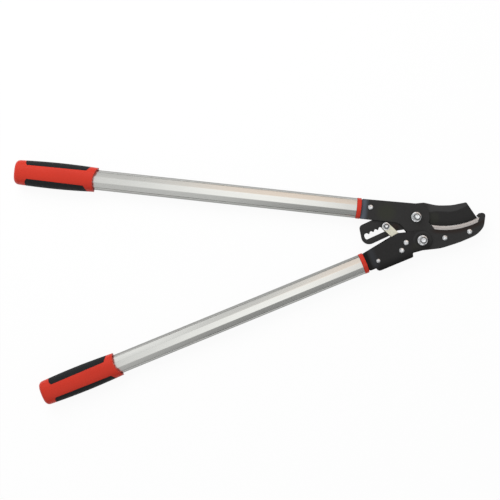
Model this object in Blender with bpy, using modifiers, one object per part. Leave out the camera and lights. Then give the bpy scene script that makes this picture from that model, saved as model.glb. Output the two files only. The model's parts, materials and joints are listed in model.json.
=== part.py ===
"""Ratchet anvil lopper: a notched blade tail, stepped by a link, closes the blade on an anvil between two jaw plates.

Units are metres. The lopper lies flat with +Z up: +X runs along the upper handle towards the jaws and +Y points
from the anvil's side to the blade's spine. Outlines in the jaw's plane are written from the blade pivot, those of
the lower handle from the handle pivot, and those of the link from the link pivot.
"""

import math

import bmesh
import bpy
from mathutils import Matrix, Vector

NAME = "lopper"

# Clearances
FIT = 0.0003
RUNNING_GAP = 0.00035
EDGE_BREAK = 0.0004
CUTTER_REACH = 0.05
ARC_TOLERANCE = 0.00010

# Sheet thicknesses, which stack outwards from the blade in the middle
BLADE_THICKNESS = 0.0045
JAW_PLATE_THICKNESS = 0.0030
LINK_THICKNESS = 0.0025
BRACKET_THICKNESS = 0.0030

# Pivots, from the blade pivot in the jaw's plane
HANDLE_PIVOT = (0.0134, -0.0360)
HANDLE_ANGLE = math.radians(28.46)
RATCHET_PIN_PLACE = (-0.0462, -0.0200)

# Pivots and rivets in the lower bracket, from the handle pivot along the lower handle
LINK_PIVOT = (-0.0255, 0.0065)
SPRING_ANCHOR = (-0.0367, -0.0025)

# Tang rivets, in from the handle's end of the tang and across the handle
UPPER_TANG_RIVET = (0.0146, 0.0075)
LOWER_TANG_RIVET = (0.0183, -0.0035)

# Fasteners
PIVOT_BOLT_DIAMETER = 0.0080
PIVOT_BOLT_FLATS = 0.0130
PIVOT_HEAD_HEIGHT = 0.0053
PIVOT_NUT_HEIGHT = 0.0080
PIVOT_WASHER_DIAMETER = 0.0160
PIVOT_WASHER_THICKNESS = 0.0016
RATCHET_PIN_DIAMETER = 0.0050
RATCHET_NUT_FLATS = 0.0100
RATCHET_NUT_HEIGHT = 0.0050
RATCHET_WASHER_DIAMETER = 0.0126
RATCHET_WASHER_THICKNESS = 0.0012
RATCHET_HEAD_HEIGHT = 0.0032
RIVET_SHANK_DIAMETER = 0.0050
RIVET_HEAD_DIAMETER = 0.0088
RIVET_HEAD_HEIGHT = 0.0021
SPACER_DIAMETER = 0.0160
STUD_LENGTH = 0.0008

# Cutting edge and anvil share the centre of their arcs. Places along them are arc lengths from the anvil's middle
ANVIL_MIDDLE = (0.0649, -0.0062)
ANVIL_MIDDLE_ANGLE = math.radians(-74.5)
ANVIL_RADIUS = 0.1120
ANVIL_LENGTH = 0.0793
ANVIL_HEIGHT = 0.0062
ANVIL_END_SLANT = 0.0061
ANVIL_WEB_MARGIN = 0.0065
ANVIL_RIVETS = {"heel": (-0.0183, 0.0187), "nose": (0.0170, 0.0150)}
BLADE_EDGE_HEEL = -0.0406
BLADE_EDGE_TIP = 0.0368
EDGE_FLAT = 0.0005
GRIND_BULGE_PLACE = 0.55
GRIND_BULGE_SHARE = 0.33
GRIND_ENDS = (-0.0469, 0.0430)
GRIND_OVERRUN = 0.0005
GRIND_BEYOND = 0.0040

# Jaw plates
TANG_LOW = -0.0120
TANG_HIGH = 0.0196
TANG_LENGTH = 0.0886
UPPER_TUBE_Y = 0.0041
JAW_HUB_RADIUS = 0.0215
JAW_HUB_ARC = (math.radians(-17), math.radians(86))
JAW_HEEL_RADIUS = 0.0160
JAW_THROAT = (-0.0255, 0.0170)
JAW_BELLY = ((0.0450, -0.0454, 0.0600), (0.0747, -0.0321, 0.1500), (0.0990, -0.0182, 0.0350))
JAW_NOSE = ((0.0088, -0.0153, 0.0200), (0.0091, 0.0070, 0.0044), (0.0010, 0.0072, 0.0043), (-0.0031, 0.0015, 0.0005))
TANG_STEP_START = 0.0086
TANG_STEP_END = 0.0018
TANG_STEP_HEIGHT = 0.0012

# Blade
BLADE_HUB_RADIUS = 0.0203
BLADE_SPINE = (
    (0.0776, 0.0323, 0.0025),
    (0.0550, 0.0250, 0.0600),
    (0.0320, 0.0220, 0.0600),
    (0.0100, 0.0244, 0.0140),
    (-0.0120, 0.0196, 0.0140),
)
BLADE_THROAT = (-0.0270, -0.0246, 0.0040)
BLADE_HEEL = (0.0215, -0.0115, 0.0030)
GRIND_LINE = (
    (0.0190, 0.0115),
    (0.0300, 0.0145),
    (0.0420, 0.0150),
    (0.0540, 0.0162),
    (0.0640, 0.0195),
    (0.0740, 0.0255),
    (0.0900, 0.0380),
)
SLOT_ANGLE = math.radians(30.8)
NOTCH_COUNT = 5
NOTCH_PITCH = 0.0078
NOTCH_HALF_ANGLE = math.radians(40.0)
PIN_RUNOUT = 0.0017
TOOTH_TIP_DROP = 0.0004
SLOT_DROP = 0.0068
SLOT_END_MARGIN = 0.0050
TAIL_ABOVE = 0.0181
TAIL_BELOW = 0.0162
TAIL_END_MARGIN = 0.0053
TAIL_END_SLANT = 0.0082
TAIL_ROOT = 0.0030

# Link
LINK_WIDTH = 0.0124
LINK_CRANK = (0.0145, 0.0015)

# Lower bracket
BRACKET_LENGTH = 0.0958
BRACKET_HUB_RADIUS = 0.0155
BRACKET_TANG_LOW = -0.0136
BRACKET_TANG_HIGH = 0.0154
BRACKET_SHOULDER = (-0.0315, 0.0100)
BRACKET_LOW_SLOPE = math.radians(-6.9)
BRACKET_HIGH_SLOPE = math.radians(-16.6)
BRACKET_WEB_NECK = 0.0020
BRACKET_WEB_Y = -0.0194
BRACKET_WEB_REAR = -0.0814
BRACKET_WEB_FRONT = -0.0236
BRACKET_FOLD_RADIUS = 0.0025
LOWER_TUBE_Y = 0.0009

# Spring round the link pivot rivet
SPRING_WIRE = 0.0009
SPRING_TURNS = 2
SPRING_OVERRUN = 0.0022
SPRING_HOOK_PLACE = 0.0110

# Handles
TUBE_WIDTH = 0.0320
TUBE_DEPTH = 0.0224
TUBE_WALL = 0.0015
TUBE_FLAT_HALF = 0.0046
TUBE_SHOULDER_IN = 0.0028
TUBE_SHOULDER_SHARE = 0.66
TUBE_WAIST_SHARE = 0.14
TUBE_SIDE_RADIUS = 0.0040
TUBE_RIDGE_RADIUS = 0.0025
TUBE_LENGTHS = {"upper": 0.5420, "lower": 0.5446}
COLLAR_LENGTH = 0.0070
COLLAR_PROUD = 0.0006
PLUG_LENGTH = 0.0280
CORE_WIDTH = 0.0220
UPPER_CORE_OVERLAP = 0.0270
LOWER_CORE_OVERLAP = 0.0350
CORE_IN_TUBE = 0.0560
GRIP_LENGTH = 0.1320
GRIP_END_WALL = 0.0055
GRIP_END_WIDTH = 0.0388
GRIP_MIDDLE_WIDTH = 0.0424
GRIP_LEAN = 0.0012
GRIP_END_ROUNDING = 0.0070
GRIP_SQUARENESS = 2.3
GRIP_MOUTH_RADIUS = 0.0500
GRIP_MOUTH_OFFSET = 0.0050
GRIP_MOUTH_SCOOP = 0.0065
GRIP_END_DEPTH_SHARE = 0.93
PAD_DEPTH = 0.0018
PAD_REAR_EDGE = 0.0111
PAD_FRONT_EDGE = 0.0123
PAD_REAR = 0.0185
PAD_FRONT = 0.1165
PAD_SLANT = 0.0055

# Heights of the sheet stack, either side of the middle plane
JAW_INNER = BLADE_THICKNESS / 2 + RUNNING_GAP
JAW_OUTER = JAW_INNER + JAW_PLATE_THICKNESS
LINK_OUTER = JAW_INNER + LINK_THICKNESS
BRACKET_INNER = max(JAW_OUTER, LINK_OUTER) + RUNNING_GAP
BRACKET_OUTER = BRACKET_INNER + BRACKET_THICKNESS
BLADE_PIVOT_SEAT = JAW_OUTER + FIT
HANDLE_PIVOT_SEAT = BRACKET_OUTER + FIT
REST_HEIGHT = HANDLE_PIVOT_SEAT + PIVOT_WASHER_THICKNESS + FIT + PIVOT_HEAD_HEIGHT
EDGE_RADIUS = ANVIL_RADIUS - FIT
CUT_CENTRE = (
    ANVIL_MIDDLE[0] - ANVIL_RADIUS * math.cos(ANVIL_MIDDLE_ANGLE),
    ANVIL_MIDDLE[1] - ANVIL_RADIUS * math.sin(ANVIL_MIDDLE_ANGLE),
)
UPPER_TANG_RIVET_PLACE = (UPPER_TANG_RIVET[0] - TANG_LENGTH, UPPER_TANG_RIVET[1])
LOWER_TANG_RIVET_PLACE = (LOWER_TANG_RIVET[0] - BRACKET_LENGTH, LOWER_TANG_RIVET[1])

# Looks
COLOURS = {
    "black_steel": ((0.030, 0.032, 0.034), 0.55, 0.4),
    "zinc": ((0.72, 0.71, 0.66), 0.35, 1.0),
    "bright_steel": ((0.65, 0.66, 0.67), 0.28, 1.0),
    "anvil_metal": ((0.58, 0.56, 0.54), 0.40, 1.0),
    "tube_aluminium": ((0.62, 0.62, 0.61), 0.35, 1.0),
    "red_plastic": ((0.63, 0.035, 0.02), 0.40, 0.0),
    "soft_black": ((0.018, 0.019, 0.021), 0.70, 0.0),
    "spring_steel": ((0.40, 0.40, 0.40), 0.35, 1.0),
}


def clear_scene():
    for item in list(bpy.data.objects):
        bpy.data.objects.remove(item, do_unlink=True)
    for group in list(bpy.data.collections):
        bpy.data.collections.remove(group)


def new_collection(name):
    group = bpy.data.collections.new(name)
    bpy.context.scene.collection.children.link(group)
    return group


def new_material(name):
    colour, roughness, metallic = COLOURS[name]
    material = bpy.data.materials.new(name)
    material.use_nodes = True
    shader = material.node_tree.nodes["Principled BSDF"]
    shader.inputs["Base Color"].default_value = (*colour, 1.0)
    shader.inputs["Roughness"].default_value = roughness
    shader.inputs["Metallic"].default_value = metallic
    material.diffuse_color = (*colour, 1.0)
    return material


def new_empty(name, place, turn=0.0, parent=None):
    empty = bpy.data.objects.new(name, None)
    empty.location = (*place, 0.0)
    empty.rotation_euler = (0.0, 0.0, turn)
    empty.parent = parent
    parts.objects.link(empty)
    return empty


def add_part(name, mesh, material, parent, smooth=True):
    """A piece of the lopper, as its own object under the empty of the body that carries it."""
    item = bpy.data.objects.new(name, mesh)
    item.parent = parent
    mesh.materials.clear()
    mesh.materials.append(materials[material])
    if smooth:
        mesh.shade_smooth()
        mesh.set_sharp_from_angle(angle=math.radians(30))
    parts.objects.link(item)
    return item


def add_cutter(name, mesh, parent):
    """A shape that only cuts, joins or bounds others, and is no part of the lopper."""
    item = bpy.data.objects.new(name, mesh)
    item.parent = parent
    item.display_type = "WIRE"
    item.hide_render = True
    cutters.objects.link(item)
    return item


def combine(item, other, operation="DIFFERENCE"):
    modifier = item.modifiers.new(operation.title(), "BOOLEAN")
    modifier.operation = operation
    modifier.object = other
    modifier.solver = "EXACT"


def break_edges(item, width=EDGE_BREAK):
    """A small bevel on the sharp edges of a sheet or moulding."""
    modifier = item.modifiers.new("Edge break", "BEVEL")
    modifier.width = width
    modifier.segments = 1
    modifier.limit_method = "ANGLE"
    modifier.angle_limit = math.radians(40)


# Outlines


def arc_steps(radius, sweep):
    step = 2 * math.acos(1 - min(ARC_TOLERANCE / radius, 0.5))
    return max(1, math.ceil(abs(sweep) / step - 0.001))


def arc(centre, radius, start, end):
    """Points along an arc, both ends included."""
    steps = arc_steps(radius, end - start)
    points = []
    for i in range(steps + 1):
        angle = start + (end - start) * i / steps
        points.append((centre[0] + radius * math.cos(angle), centre[1] + radius * math.sin(angle)))
    return points


def circle(centre, radius):
    steps = max(16, arc_steps(radius, math.tau))
    return [
        (centre[0] + radius * math.cos(math.tau * i / steps), centre[1] + radius * math.sin(math.tau * i / steps))
        for i in range(steps)
    ]


def sharp(points):
    """Points as corners with no fillet."""
    return [(x, y, 0.0) for x, y in points]


def filleted(corners):
    """Closed outline through corners of x, y and fillet radius: straight runs joined by arcs."""
    spots = [Vector(corner[:2]) for corner in corners]
    count = len(corners)
    sides = []
    for i in range(count):
        back = spots[i - 1] - spots[i]
        on = spots[(i + 1) % count] - spots[i]
        sides.append((back, on, back.angle(on) / 2))
    cuts = [corner[2] / math.tan(side[2]) for corner, side in zip(corners, sides)]
    outline = []
    for i in range(count):
        back, on, half = sides[i]
        room = []
        for reach, other in ((back.length, cuts[i - 1]), (on.length, cuts[(i + 1) % count])):
            total = cuts[i] + other
            room.append(cuts[i] if total <= reach else reach * cuts[i] / total)
        cut = min(room)
        if cut < 1e-7:
            outline.append(tuple(spots[i]))
            continue
        radius = cut * math.tan(half)
        centre = spots[i] + (back.normalized() + on.normalized()).normalized() * radius / math.sin(half)
        start = spots[i] + back.normalized() * cut - centre
        finish = spots[i] + on.normalized() * cut - centre
        sweep = start.angle_signed(finish)
        steps = arc_steps(radius, sweep)
        for j in range(steps + 1):
            turned = start.copy()
            turned.rotate(Matrix.Rotation(-sweep * j / steps, 2))
            outline.append(tuple(centre + turned))
    return without_repeats(outline)


def without_repeats(points):
    kept = []
    for point in points:
        if not kept or (Vector(point) - Vector(kept[-1])).length > 1e-6:
            kept.append(point)
    if (Vector(kept[0]) - Vector(kept[-1])).length <= 1e-6:
        kept.pop()
    return kept


def turned_about(points, place, angle):
    """Corners turned by an angle about the origin and then moved to a place."""
    spin = Matrix.Rotation(angle, 2)
    result = []
    for point in points:
        spot = spin @ Vector(point[:2]) + Vector(place)
        result.append((spot.x, spot.y, *point[2:]))
    return result


# Meshes


def mesh_from(bm, name="shape"):
    mesh = bpy.data.meshes.new(name)
    bm.to_mesh(mesh)
    bm.free()
    return mesh


def sheet(loops, low, high):
    """Solid between two heights from an outline and its holes, drawn as a filled flat curve."""
    curve = bpy.data.curves.new("outline", "CURVE")
    curve.dimensions = "2D"
    curve.fill_mode = "BOTH"
    curve.extrude = (high - low) / 2
    for loop in loops:
        spline = curve.splines.new("POLY")
        spline.points.add(len(loop) - 1)
        for point, (x, y) in zip(spline.points, loop):
            point.co = (x, y, 0.0, 1.0)
        spline.use_cyclic_u = True
    guide = bpy.data.objects.new("outline", curve)
    bpy.context.scene.collection.objects.link(guide)
    depsgraph = bpy.context.evaluated_depsgraph_get()
    drawn = bpy.data.meshes.new_from_object(guide.evaluated_get(depsgraph))
    bpy.data.objects.remove(guide)
    bm = bmesh.new()
    bm.from_mesh(drawn)
    bmesh.ops.remove_doubles(bm, verts=bm.verts, dist=1e-6)
    bmesh.ops.dissolve_limit(bm, angle_limit=math.radians(0.5), verts=bm.verts, edges=bm.edges, delimit={"NORMAL"})
    bmesh.ops.translate(bm, verts=bm.verts, vec=(0.0, 0.0, (low + high) / 2))
    bmesh.ops.recalc_face_normals(bm, faces=bm.faces)
    return mesh_from(bm)


def bar(loops, start, end, y=0.0):
    """The same kind of solid with its outline across a handle and its length along X."""
    mesh = sheet(loops, start, end)
    mesh.transform(Matrix(((0, 0, 1, 0), (1, 0, 0, y), (0, 1, 0, 0), (0, 0, 0, 1))))
    return mesh


def box(low, high):
    bm = bmesh.new()
    bmesh.ops.create_cube(bm, size=1.0)
    size = Vector(high) - Vector(low)
    bmesh.ops.scale(bm, verts=bm.verts, vec=size)
    bmesh.ops.translate(bm, verts=bm.verts, vec=(Vector(low) + Vector(high)) / 2)
    return mesh_from(bm)


def loft(rings, hollow=False):
    """Skin through rings of equal count, capped at both ends, or closed on itself round a bore."""
    bm = bmesh.new()
    loops = [[bm.verts.new(point) for point in ring] for ring in rings]
    pairs = list(zip(loops, loops[1:]))
    if hollow:
        pairs.append((loops[-1], loops[0]))
    else:
        bm.faces.new(loops[0])
        bm.faces.new(loops[-1])
    for first, second in pairs:
        for i in range(len(first)):
            j = (i + 1) % len(first)
            bm.faces.new((first[i], first[j], second[j], second[i]))
    bmesh.ops.recalc_face_normals(bm, faces=bm.faces)
    return mesh_from(bm)


def turned(name, profile, material, parent, place, closed=False, steps=20):
    """Piece turned about an upright axis: radius and height pairs that run down its outer side."""
    mesh = bpy.data.meshes.new(name)
    points = [(radius, 0.0, height) for radius, height in profile]
    edges = [(i, i + 1) for i in range(len(points) - 1)]
    if closed:
        edges.append((len(points) - 1, 0))
    mesh.from_pydata(points, edges, [])
    item = add_part(name, mesh, material, parent, smooth=False)
    item.location = (*place, 0.0)
    screw = item.modifiers.new("Turn", "SCREW")
    screw.steps = steps
    screw.render_steps = steps
    screw.use_merge_vertices = True
    screw.merge_threshold = 0.00001
    screw.use_smooth_shade = True
    return item


def ring_at(radius_at, height, count=18):
    """Ring of points at one height, whose radius depends on the angle."""
    ring = []
    for i in range(count):
        angle = math.tau * i / count
        radius = radius_at(angle)
        ring.append((radius * math.cos(angle), radius * math.sin(angle), height))
    return ring


def round_of(radius):
    return lambda angle: radius


def hexagon_of(flats):
    sixth = math.tau / 6
    return lambda angle: flats / 2 / math.cos((angle + sixth / 2) % sixth - sixth / 2)


# Fasteners


def add_bolt(name, parent, place, flats, head_height, diameter, head_top, end):
    """Hexagon bolt, head down: the head hangs below head_top and the shank rises to end."""
    chamfer = 0.1 * flats / 2
    low = head_top - head_height
    rings = [
        ring_at(round_of(flats / 2 - chamfer / 2), low),
        ring_at(hexagon_of(flats), low + chamfer),
        ring_at(hexagon_of(flats), head_top),
        ring_at(round_of(diameter / 2), head_top),
        ring_at(round_of(diameter / 2), end - chamfer),
        ring_at(round_of(diameter / 2 - chamfer), end),
    ]
    item = add_part(name, loft(rings), "bright_steel", parent)
    item.location = (*place, 0.0)


def add_nut(name, parent, place, flats, height, diameter, seat):
    """Lock nut: a hexagon with a round collar on top, bored for the bolt."""
    bore = diameter / 2 + FIT
    hexagon_height = 0.62 * height
    collar = 0.45 * flats
    lip = 0.08 * height
    rings = [
        ring_at(round_of(flats / 2 - lip / 2), seat),
        ring_at(hexagon_of(flats), seat + lip),
        ring_at(hexagon_of(flats), seat + hexagon_height - lip),
        ring_at(round_of(flats / 2 - lip / 2), seat + hexagon_height),
        ring_at(round_of(collar), seat + hexagon_height),
        ring_at(round_of(collar), seat + height - lip),
        ring_at(round_of(collar - lip), seat + height),
        ring_at(round_of(bore), seat + height),
        ring_at(round_of(bore), seat),
    ]
    item = add_part(name, loft(rings, hollow=True), "bright_steel", parent)
    item.location = (*place, 0.0)


def add_washer(name, parent, place, diameter, thickness, bolt, low):
    high = low + thickness
    outer = diameter / 2
    inner = bolt / 2 + FIT
    rim = thickness / 5
    profile = [
        (outer - rim, high),
        (outer, high - rim),
        (outer, low + rim),
        (outer - rim, low),
        (inner, low),
        (inner, high),
    ]
    turned(name, profile, "bright_steel", parent, place, closed=True)


def add_rivet(name, parent, place, seat, diameter=RIVET_SHANK_DIAMETER, head=RIVET_HEAD_DIAMETER):
    """Rivet with a domed head on each side of what it holds."""
    shank = diameter / 2
    dome = []
    steps = 3
    for i in range(steps + 1):
        angle = math.pi / 2 * (1 - i / steps)
        dome.append((head / 2 * math.cos(angle), seat + RIVET_HEAD_HEIGHT * (0.25 + 0.75 * math.sin(angle))))
    dome[0] = (0.0, dome[0][1])
    dome.append((head / 2, seat))
    profile = dome + [(shank, seat)]
    profile += [(radius, -height) for radius, height in reversed(profile)]
    turned(name, profile, "bright_steel", parent, place, steps=14)


# Jaw frame


def cut_angle(along):
    """Angle about the arcs' centre of a place along the anvil's face."""
    return ANVIL_MIDDLE_ANGLE + along / ANVIL_RADIUS


def on_cut_arc(radius, along):
    angle = cut_angle(along)
    return (CUT_CENTRE[0] + radius * math.cos(angle), CUT_CENTRE[1] + radius * math.sin(angle))


def cut_arc(radius, start, end):
    return arc(CUT_CENTRE, radius, cut_angle(start), cut_angle(end))


def anvil_rivet_places():
    return {end: on_cut_arc(ANVIL_RADIUS + below, along) for end, (along, below) in ANVIL_RIVETS.items()}


def jaw_outline():
    """Tang, hub, anvil seat, hooked nose, belly and heel of a jaw plate, anticlockwise from the tang's corner."""
    heel_left = HANDLE_PIVOT[0] - JAW_HEEL_RADIUS
    to_belly = Vector(JAW_BELLY[0][:2]) - Vector(HANDLE_PIVOT)
    belly_slope = math.asin(JAW_HEEL_RADIUS / to_belly.length) + math.atan2(to_belly.y, to_belly.x)
    tangent = Vector((math.sin(belly_slope), -math.cos(belly_slope))) * JAW_HEEL_RADIUS + Vector(HANDLE_PIVOT)
    heel_low = tangent.y + (heel_left - tangent.x) * math.tan(belly_slope)
    seat_radius = ANVIL_RADIUS + ANVIL_HEIGHT + FIT
    half = ANVIL_LENGTH / 2
    seat = cut_arc(seat_radius, half - ANVIL_END_SLANT, ANVIL_END_SLANT - half)
    hub = arc((0.0, 0.0), JAW_HUB_RADIUS, *JAW_HUB_ARC)
    nose = on_cut_arc(ANVIL_RADIUS, half)
    corners = [
        (-TANG_LENGTH, TANG_LOW, 0.0020),
        (JAW_THROAT[0], TANG_LOW, JAW_THROAT[1]),
        (heel_left, HANDLE_PIVOT[1] + 0.0015, 0.0040),
        (heel_left, heel_low, JAW_HEEL_RADIUS),
        *JAW_BELLY,
        *[(nose[0] + x, nose[1] + y, radius) for x, y, radius in JAW_NOSE],
        (nose[0] + 2 * FIT, nose[1] + FIT, 0.0),
        *sharp(seat),
        (*on_cut_arc(ANVIL_RADIUS, -half - 2 * FIT), 0.0015),
        *sharp(hub),
        (-TANG_LENGTH, TANG_HIGH, 0.0020),
    ]
    return filleted(corners)


def add_jaw_plate(name, side):
    """One jaw plate: side is 1 for the front and -1 for the back."""
    holes = [
        circle((0.0, 0.0), PIVOT_BOLT_DIAMETER / 2 + FIT),
        circle(HANDLE_PIVOT, PIVOT_BOLT_DIAMETER / 2 + FIT),
        circle(UPPER_TANG_RIVET_PLACE, RIVET_SHANK_DIAMETER / 2 + FIT),
    ]
    holes += [circle(place, RIVET_SHANK_DIAMETER / 2 + FIT) for place in anvil_rivet_places().values()]
    heights = sorted((side * JAW_INNER, side * JAW_OUTER))
    mesh = sheet([jaw_outline(), *holes], *heights)
    pressed_step(mesh, TANG_STEP_START - TANG_LENGTH, TANG_STEP_END - TANG_LENGTH, side * TANG_STEP_HEIGHT)
    item = add_part(name, mesh, "black_steel", root)
    break_edges(item)


def pressed_step(mesh, start, end, rise):
    """Press a sheet past a line outwards, with a slope between two places along X."""
    bm = bmesh.new()
    bm.from_mesh(mesh)
    for place in (start, end):
        geometry = bm.verts[:] + bm.edges[:] + bm.faces[:]
        bmesh.ops.bisect_plane(bm, geom=geometry, plane_co=(place, 0, 0), plane_no=(1, 0, 0), dist=1e-7)
    for vert in bm.verts:
        if vert.co.x < start:
            vert.co.z += rise * min(1.0, (start - vert.co.x) / (start - end))
    bm.to_mesh(mesh)
    bm.free()


def add_anvil():
    """Anvil: a cap as wide as the jaw on a web that the plates and two rivets hold."""
    half = ANVIL_LENGTH / 2
    cap = cut_arc(ANVIL_RADIUS, -half, half)
    cap += cut_arc(ANVIL_RADIUS + ANVIL_HEIGHT, half - ANVIL_END_SLANT, ANVIL_END_SLANT - half)
    item = add_part("anvil", sheet([cap], -JAW_OUTER, JAW_OUTER), "anvil_metal", root)
    heel, nose = (Vector(place) for place in anvil_rivet_places().values())
    along = (nose - heel).normalized()
    across = Vector((-along.y, along.x))
    under = heel - along * ANVIL_WEB_MARGIN - across * ANVIL_WEB_MARGIN
    over = nose + along * ANVIL_WEB_MARGIN - across * ANVIL_WEB_MARGIN
    ends = (ANVIL_RIVETS["nose"][0] + ANVIL_WEB_MARGIN, ANVIL_RIVETS["heel"][0] - ANVIL_WEB_MARGIN)
    top = cut_arc(ANVIL_RADIUS + ANVIL_HEIGHT / 2, *ends)
    web = [(*under, 0.0030), (*over, 0.0030), *sharp(top)]
    holes = [circle(place, RIVET_SHANK_DIAMETER / 2 + FIT) for place in anvil_rivet_places().values()]
    depth = JAW_INNER - FIT
    joined = add_cutter("anvil_web", sheet([filleted(web), *holes], -depth, depth), root)
    combine(item, joined, "UNION")


def add_jaw_frame():
    add_jaw_plate("front_jaw_plate", 1)
    add_jaw_plate("back_jaw_plate", -1)
    add_anvil()
    for end, place in anvil_rivet_places().items():
        add_rivet(f"anvil_rivet_{end}", root, place, JAW_OUTER + FIT)
    add_rivet("upper_tang_rivet", root, UPPER_TANG_RIVET_PLACE, JAW_OUTER + FIT)
    add_pivot_fasteners("blade_pivot", root, (0.0, 0.0), BLADE_PIVOT_SEAT)
    half = JAW_INNER - FIT
    inner = PIVOT_BOLT_DIAMETER / 2 + FIT
    profile = [(SPACER_DIAMETER / 2, half), (SPACER_DIAMETER / 2, -half), (inner, -half), (inner, half)]
    turned("handle_pivot_spacer", profile, "bright_steel", root, HANDLE_PIVOT, closed=True)


def add_pivot_fasteners(name, parent, place, seat):
    """Bolt with its head at the back, a washer on each side and a lock nut at the front."""
    washer_low = -seat - PIVOT_WASHER_THICKNESS
    nut_seat = seat + PIVOT_WASHER_THICKNESS + FIT
    sizes = (PIVOT_WASHER_DIAMETER, PIVOT_WASHER_THICKNESS, PIVOT_BOLT_DIAMETER)
    add_washer(f"{name}_washer_back", parent, place, *sizes, washer_low)
    add_washer(f"{name}_washer_front", parent, place, *sizes, seat)
    end = nut_seat + PIVOT_NUT_HEIGHT + STUD_LENGTH
    head = washer_low - FIT
    add_bolt(f"{name}_bolt", parent, place, PIVOT_BOLT_FLATS, PIVOT_HEAD_HEIGHT, PIVOT_BOLT_DIAMETER, head, end)
    add_nut(f"{name}_nut", parent, place, PIVOT_BOLT_FLATS, PIVOT_NUT_HEIGHT, PIVOT_BOLT_DIAMETER, nut_seat)


# Blade


def last_notch():
    """Distance along the slot from the pin to the middle of the last notch."""
    return PIN_RUNOUT + (NOTCH_COUNT - 1) * NOTCH_PITCH


def in_tail(corners):
    """Corners along the slot from the pin, away from the blade pivot, and across it, as places in the jaw's plane."""
    turned_corners = []
    for along, across, radius in corners:
        turned_corners.append((-along, across, radius))
    return turned_about(turned_corners, RATCHET_PIN_PLACE, SLOT_ANGLE)


def slot_outline():
    """Slot in the tail: a straight floor, and notches that fit the pin along its other side."""
    radius = RATCHET_PIN_DIAMETER / 2 + FIT
    end = last_notch() + SLOT_END_MARGIN
    crown = radius / math.sin(NOTCH_HALF_ANGLE)
    wall = math.tan(NOTCH_HALF_ANGLE)
    corners = [(-radius, -SLOT_DROP, radius * 0.9), (-radius, radius, radius * 0.98)]
    first = PIN_RUNOUT + (crown - radius) * wall
    corners.append((first, radius, radius * 0.8))
    for i in range(NOTCH_COUNT - 1):
        corners.append((PIN_RUNOUT + (i + 0.5) * NOTCH_PITCH, -TOOTH_TIP_DROP, 0.0005))
        corners.append((PIN_RUNOUT + (i + 1) * NOTCH_PITCH, crown, radius))
    corners.pop()
    corners.append((last_notch() - (crown - radius) * wall, radius, radius * 0.8))
    corners += [(end - 0.0006, radius, 0.0030), (end, -SLOT_DROP, 0.0034)]
    return filleted(in_tail(corners))


def blade_outline():
    """Edge, end, spine, hub and tail of the blade."""
    edge = cut_arc(EDGE_RADIUS, BLADE_EDGE_HEEL, BLADE_EDGE_TIP)
    tail_end = last_notch() + TAIL_END_MARGIN
    tail = in_tail([
        (TAIL_ROOT, -TAIL_BELOW, 0.0120),
        (tail_end + TAIL_END_SLANT, -TAIL_BELOW, 0.0125),
        (tail_end, TAIL_ABOVE, 0.0065),
        (TAIL_ROOT, TAIL_ABOVE, 0.0200),
    ])
    corners = [
        *sharp(edge),
        *BLADE_SPINE,
        *reversed(tail),
        BLADE_THROAT,
        (-BLADE_HUB_RADIUS / 2, -BLADE_HUB_RADIUS, 0.0080),
        (BLADE_HUB_RADIUS * 0.64, -BLADE_HUB_RADIUS, 0.0140),
        BLADE_HEEL,
    ]
    return filleted(corners)


def add_grind_cutter(side):
    """Hollow grind of one face: the wedge between the grind line, the edge and the space beyond them."""
    thick = BLADE_THICKNESS / 2
    rings = []
    for i, (x, y) in enumerate(GRIND_LINE):
        share = i / (len(GRIND_LINE) - 1)
        along = GRIND_ENDS[0] + share * (GRIND_ENDS[1] - GRIND_ENDS[0])
        edge_x, edge_y = on_cut_arc(EDGE_RADIUS + GRIND_OVERRUN, along)
        out_x, out_y = on_cut_arc(EDGE_RADIUS + GRIND_BEYOND, along)
        middle_x = x + (edge_x - x) * GRIND_BULGE_PLACE
        middle_y = y + (edge_y - y) * GRIND_BULGE_PLACE
        rings.append([
            (x, y, side * thick),
            (middle_x, middle_y, side * (EDGE_FLAT + (thick - EDGE_FLAT) * GRIND_BULGE_SHARE)),
            (edge_x, edge_y, side * EDGE_FLAT / 2),
            (out_x, out_y, side * EDGE_FLAT / 2),
            (out_x, out_y, side * thick * 2),
            (x, y, side * thick * 2),
        ])
    return add_cutter(f"blade_grind_{'front' if side > 0 else 'back'}", loft(rings), blade_body)


def add_blade():
    half = BLADE_THICKNESS / 2
    loops = [blade_outline(), circle((0.0, 0.0), PIVOT_BOLT_DIAMETER / 2 + FIT), slot_outline()]
    item = add_part("blade", sheet(loops, -half, half), "black_steel", blade_body)
    for side in (1, -1):
        combine(item, add_grind_cutter(side))


# Ratchet link


def link_outline():
    """Bar with round ends, slightly cranked, from the link pivot to the ratchet pin."""
    half = LINK_WIDTH / 2
    path = [Vector((0.0, 0.0)), Vector(LINK_CRANK), Vector((link_length, 0.0))]
    first = (path[1] - path[0]).normalized()
    last = (path[2] - path[1]).normalized()
    bend = (first + last).normalized()
    normals = [Vector((-d.y, d.x)) for d in (first, bend, last)]
    starts = [path[0] - first * half, path[2] + last * half]
    corners = [
        (*(starts[0] - normals[0] * half), half * 0.999),
        (*(path[1] - normals[1] * half), 0.0100),
        (*(starts[1] - normals[2] * half), half * 0.999),
        (*(starts[1] + normals[2] * half), half * 0.999),
        (*(path[1] + normals[1] * half), 0.0100),
        (*(starts[0] + normals[0] * half), half * 0.999),
    ]
    return filleted(corners)


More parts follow.
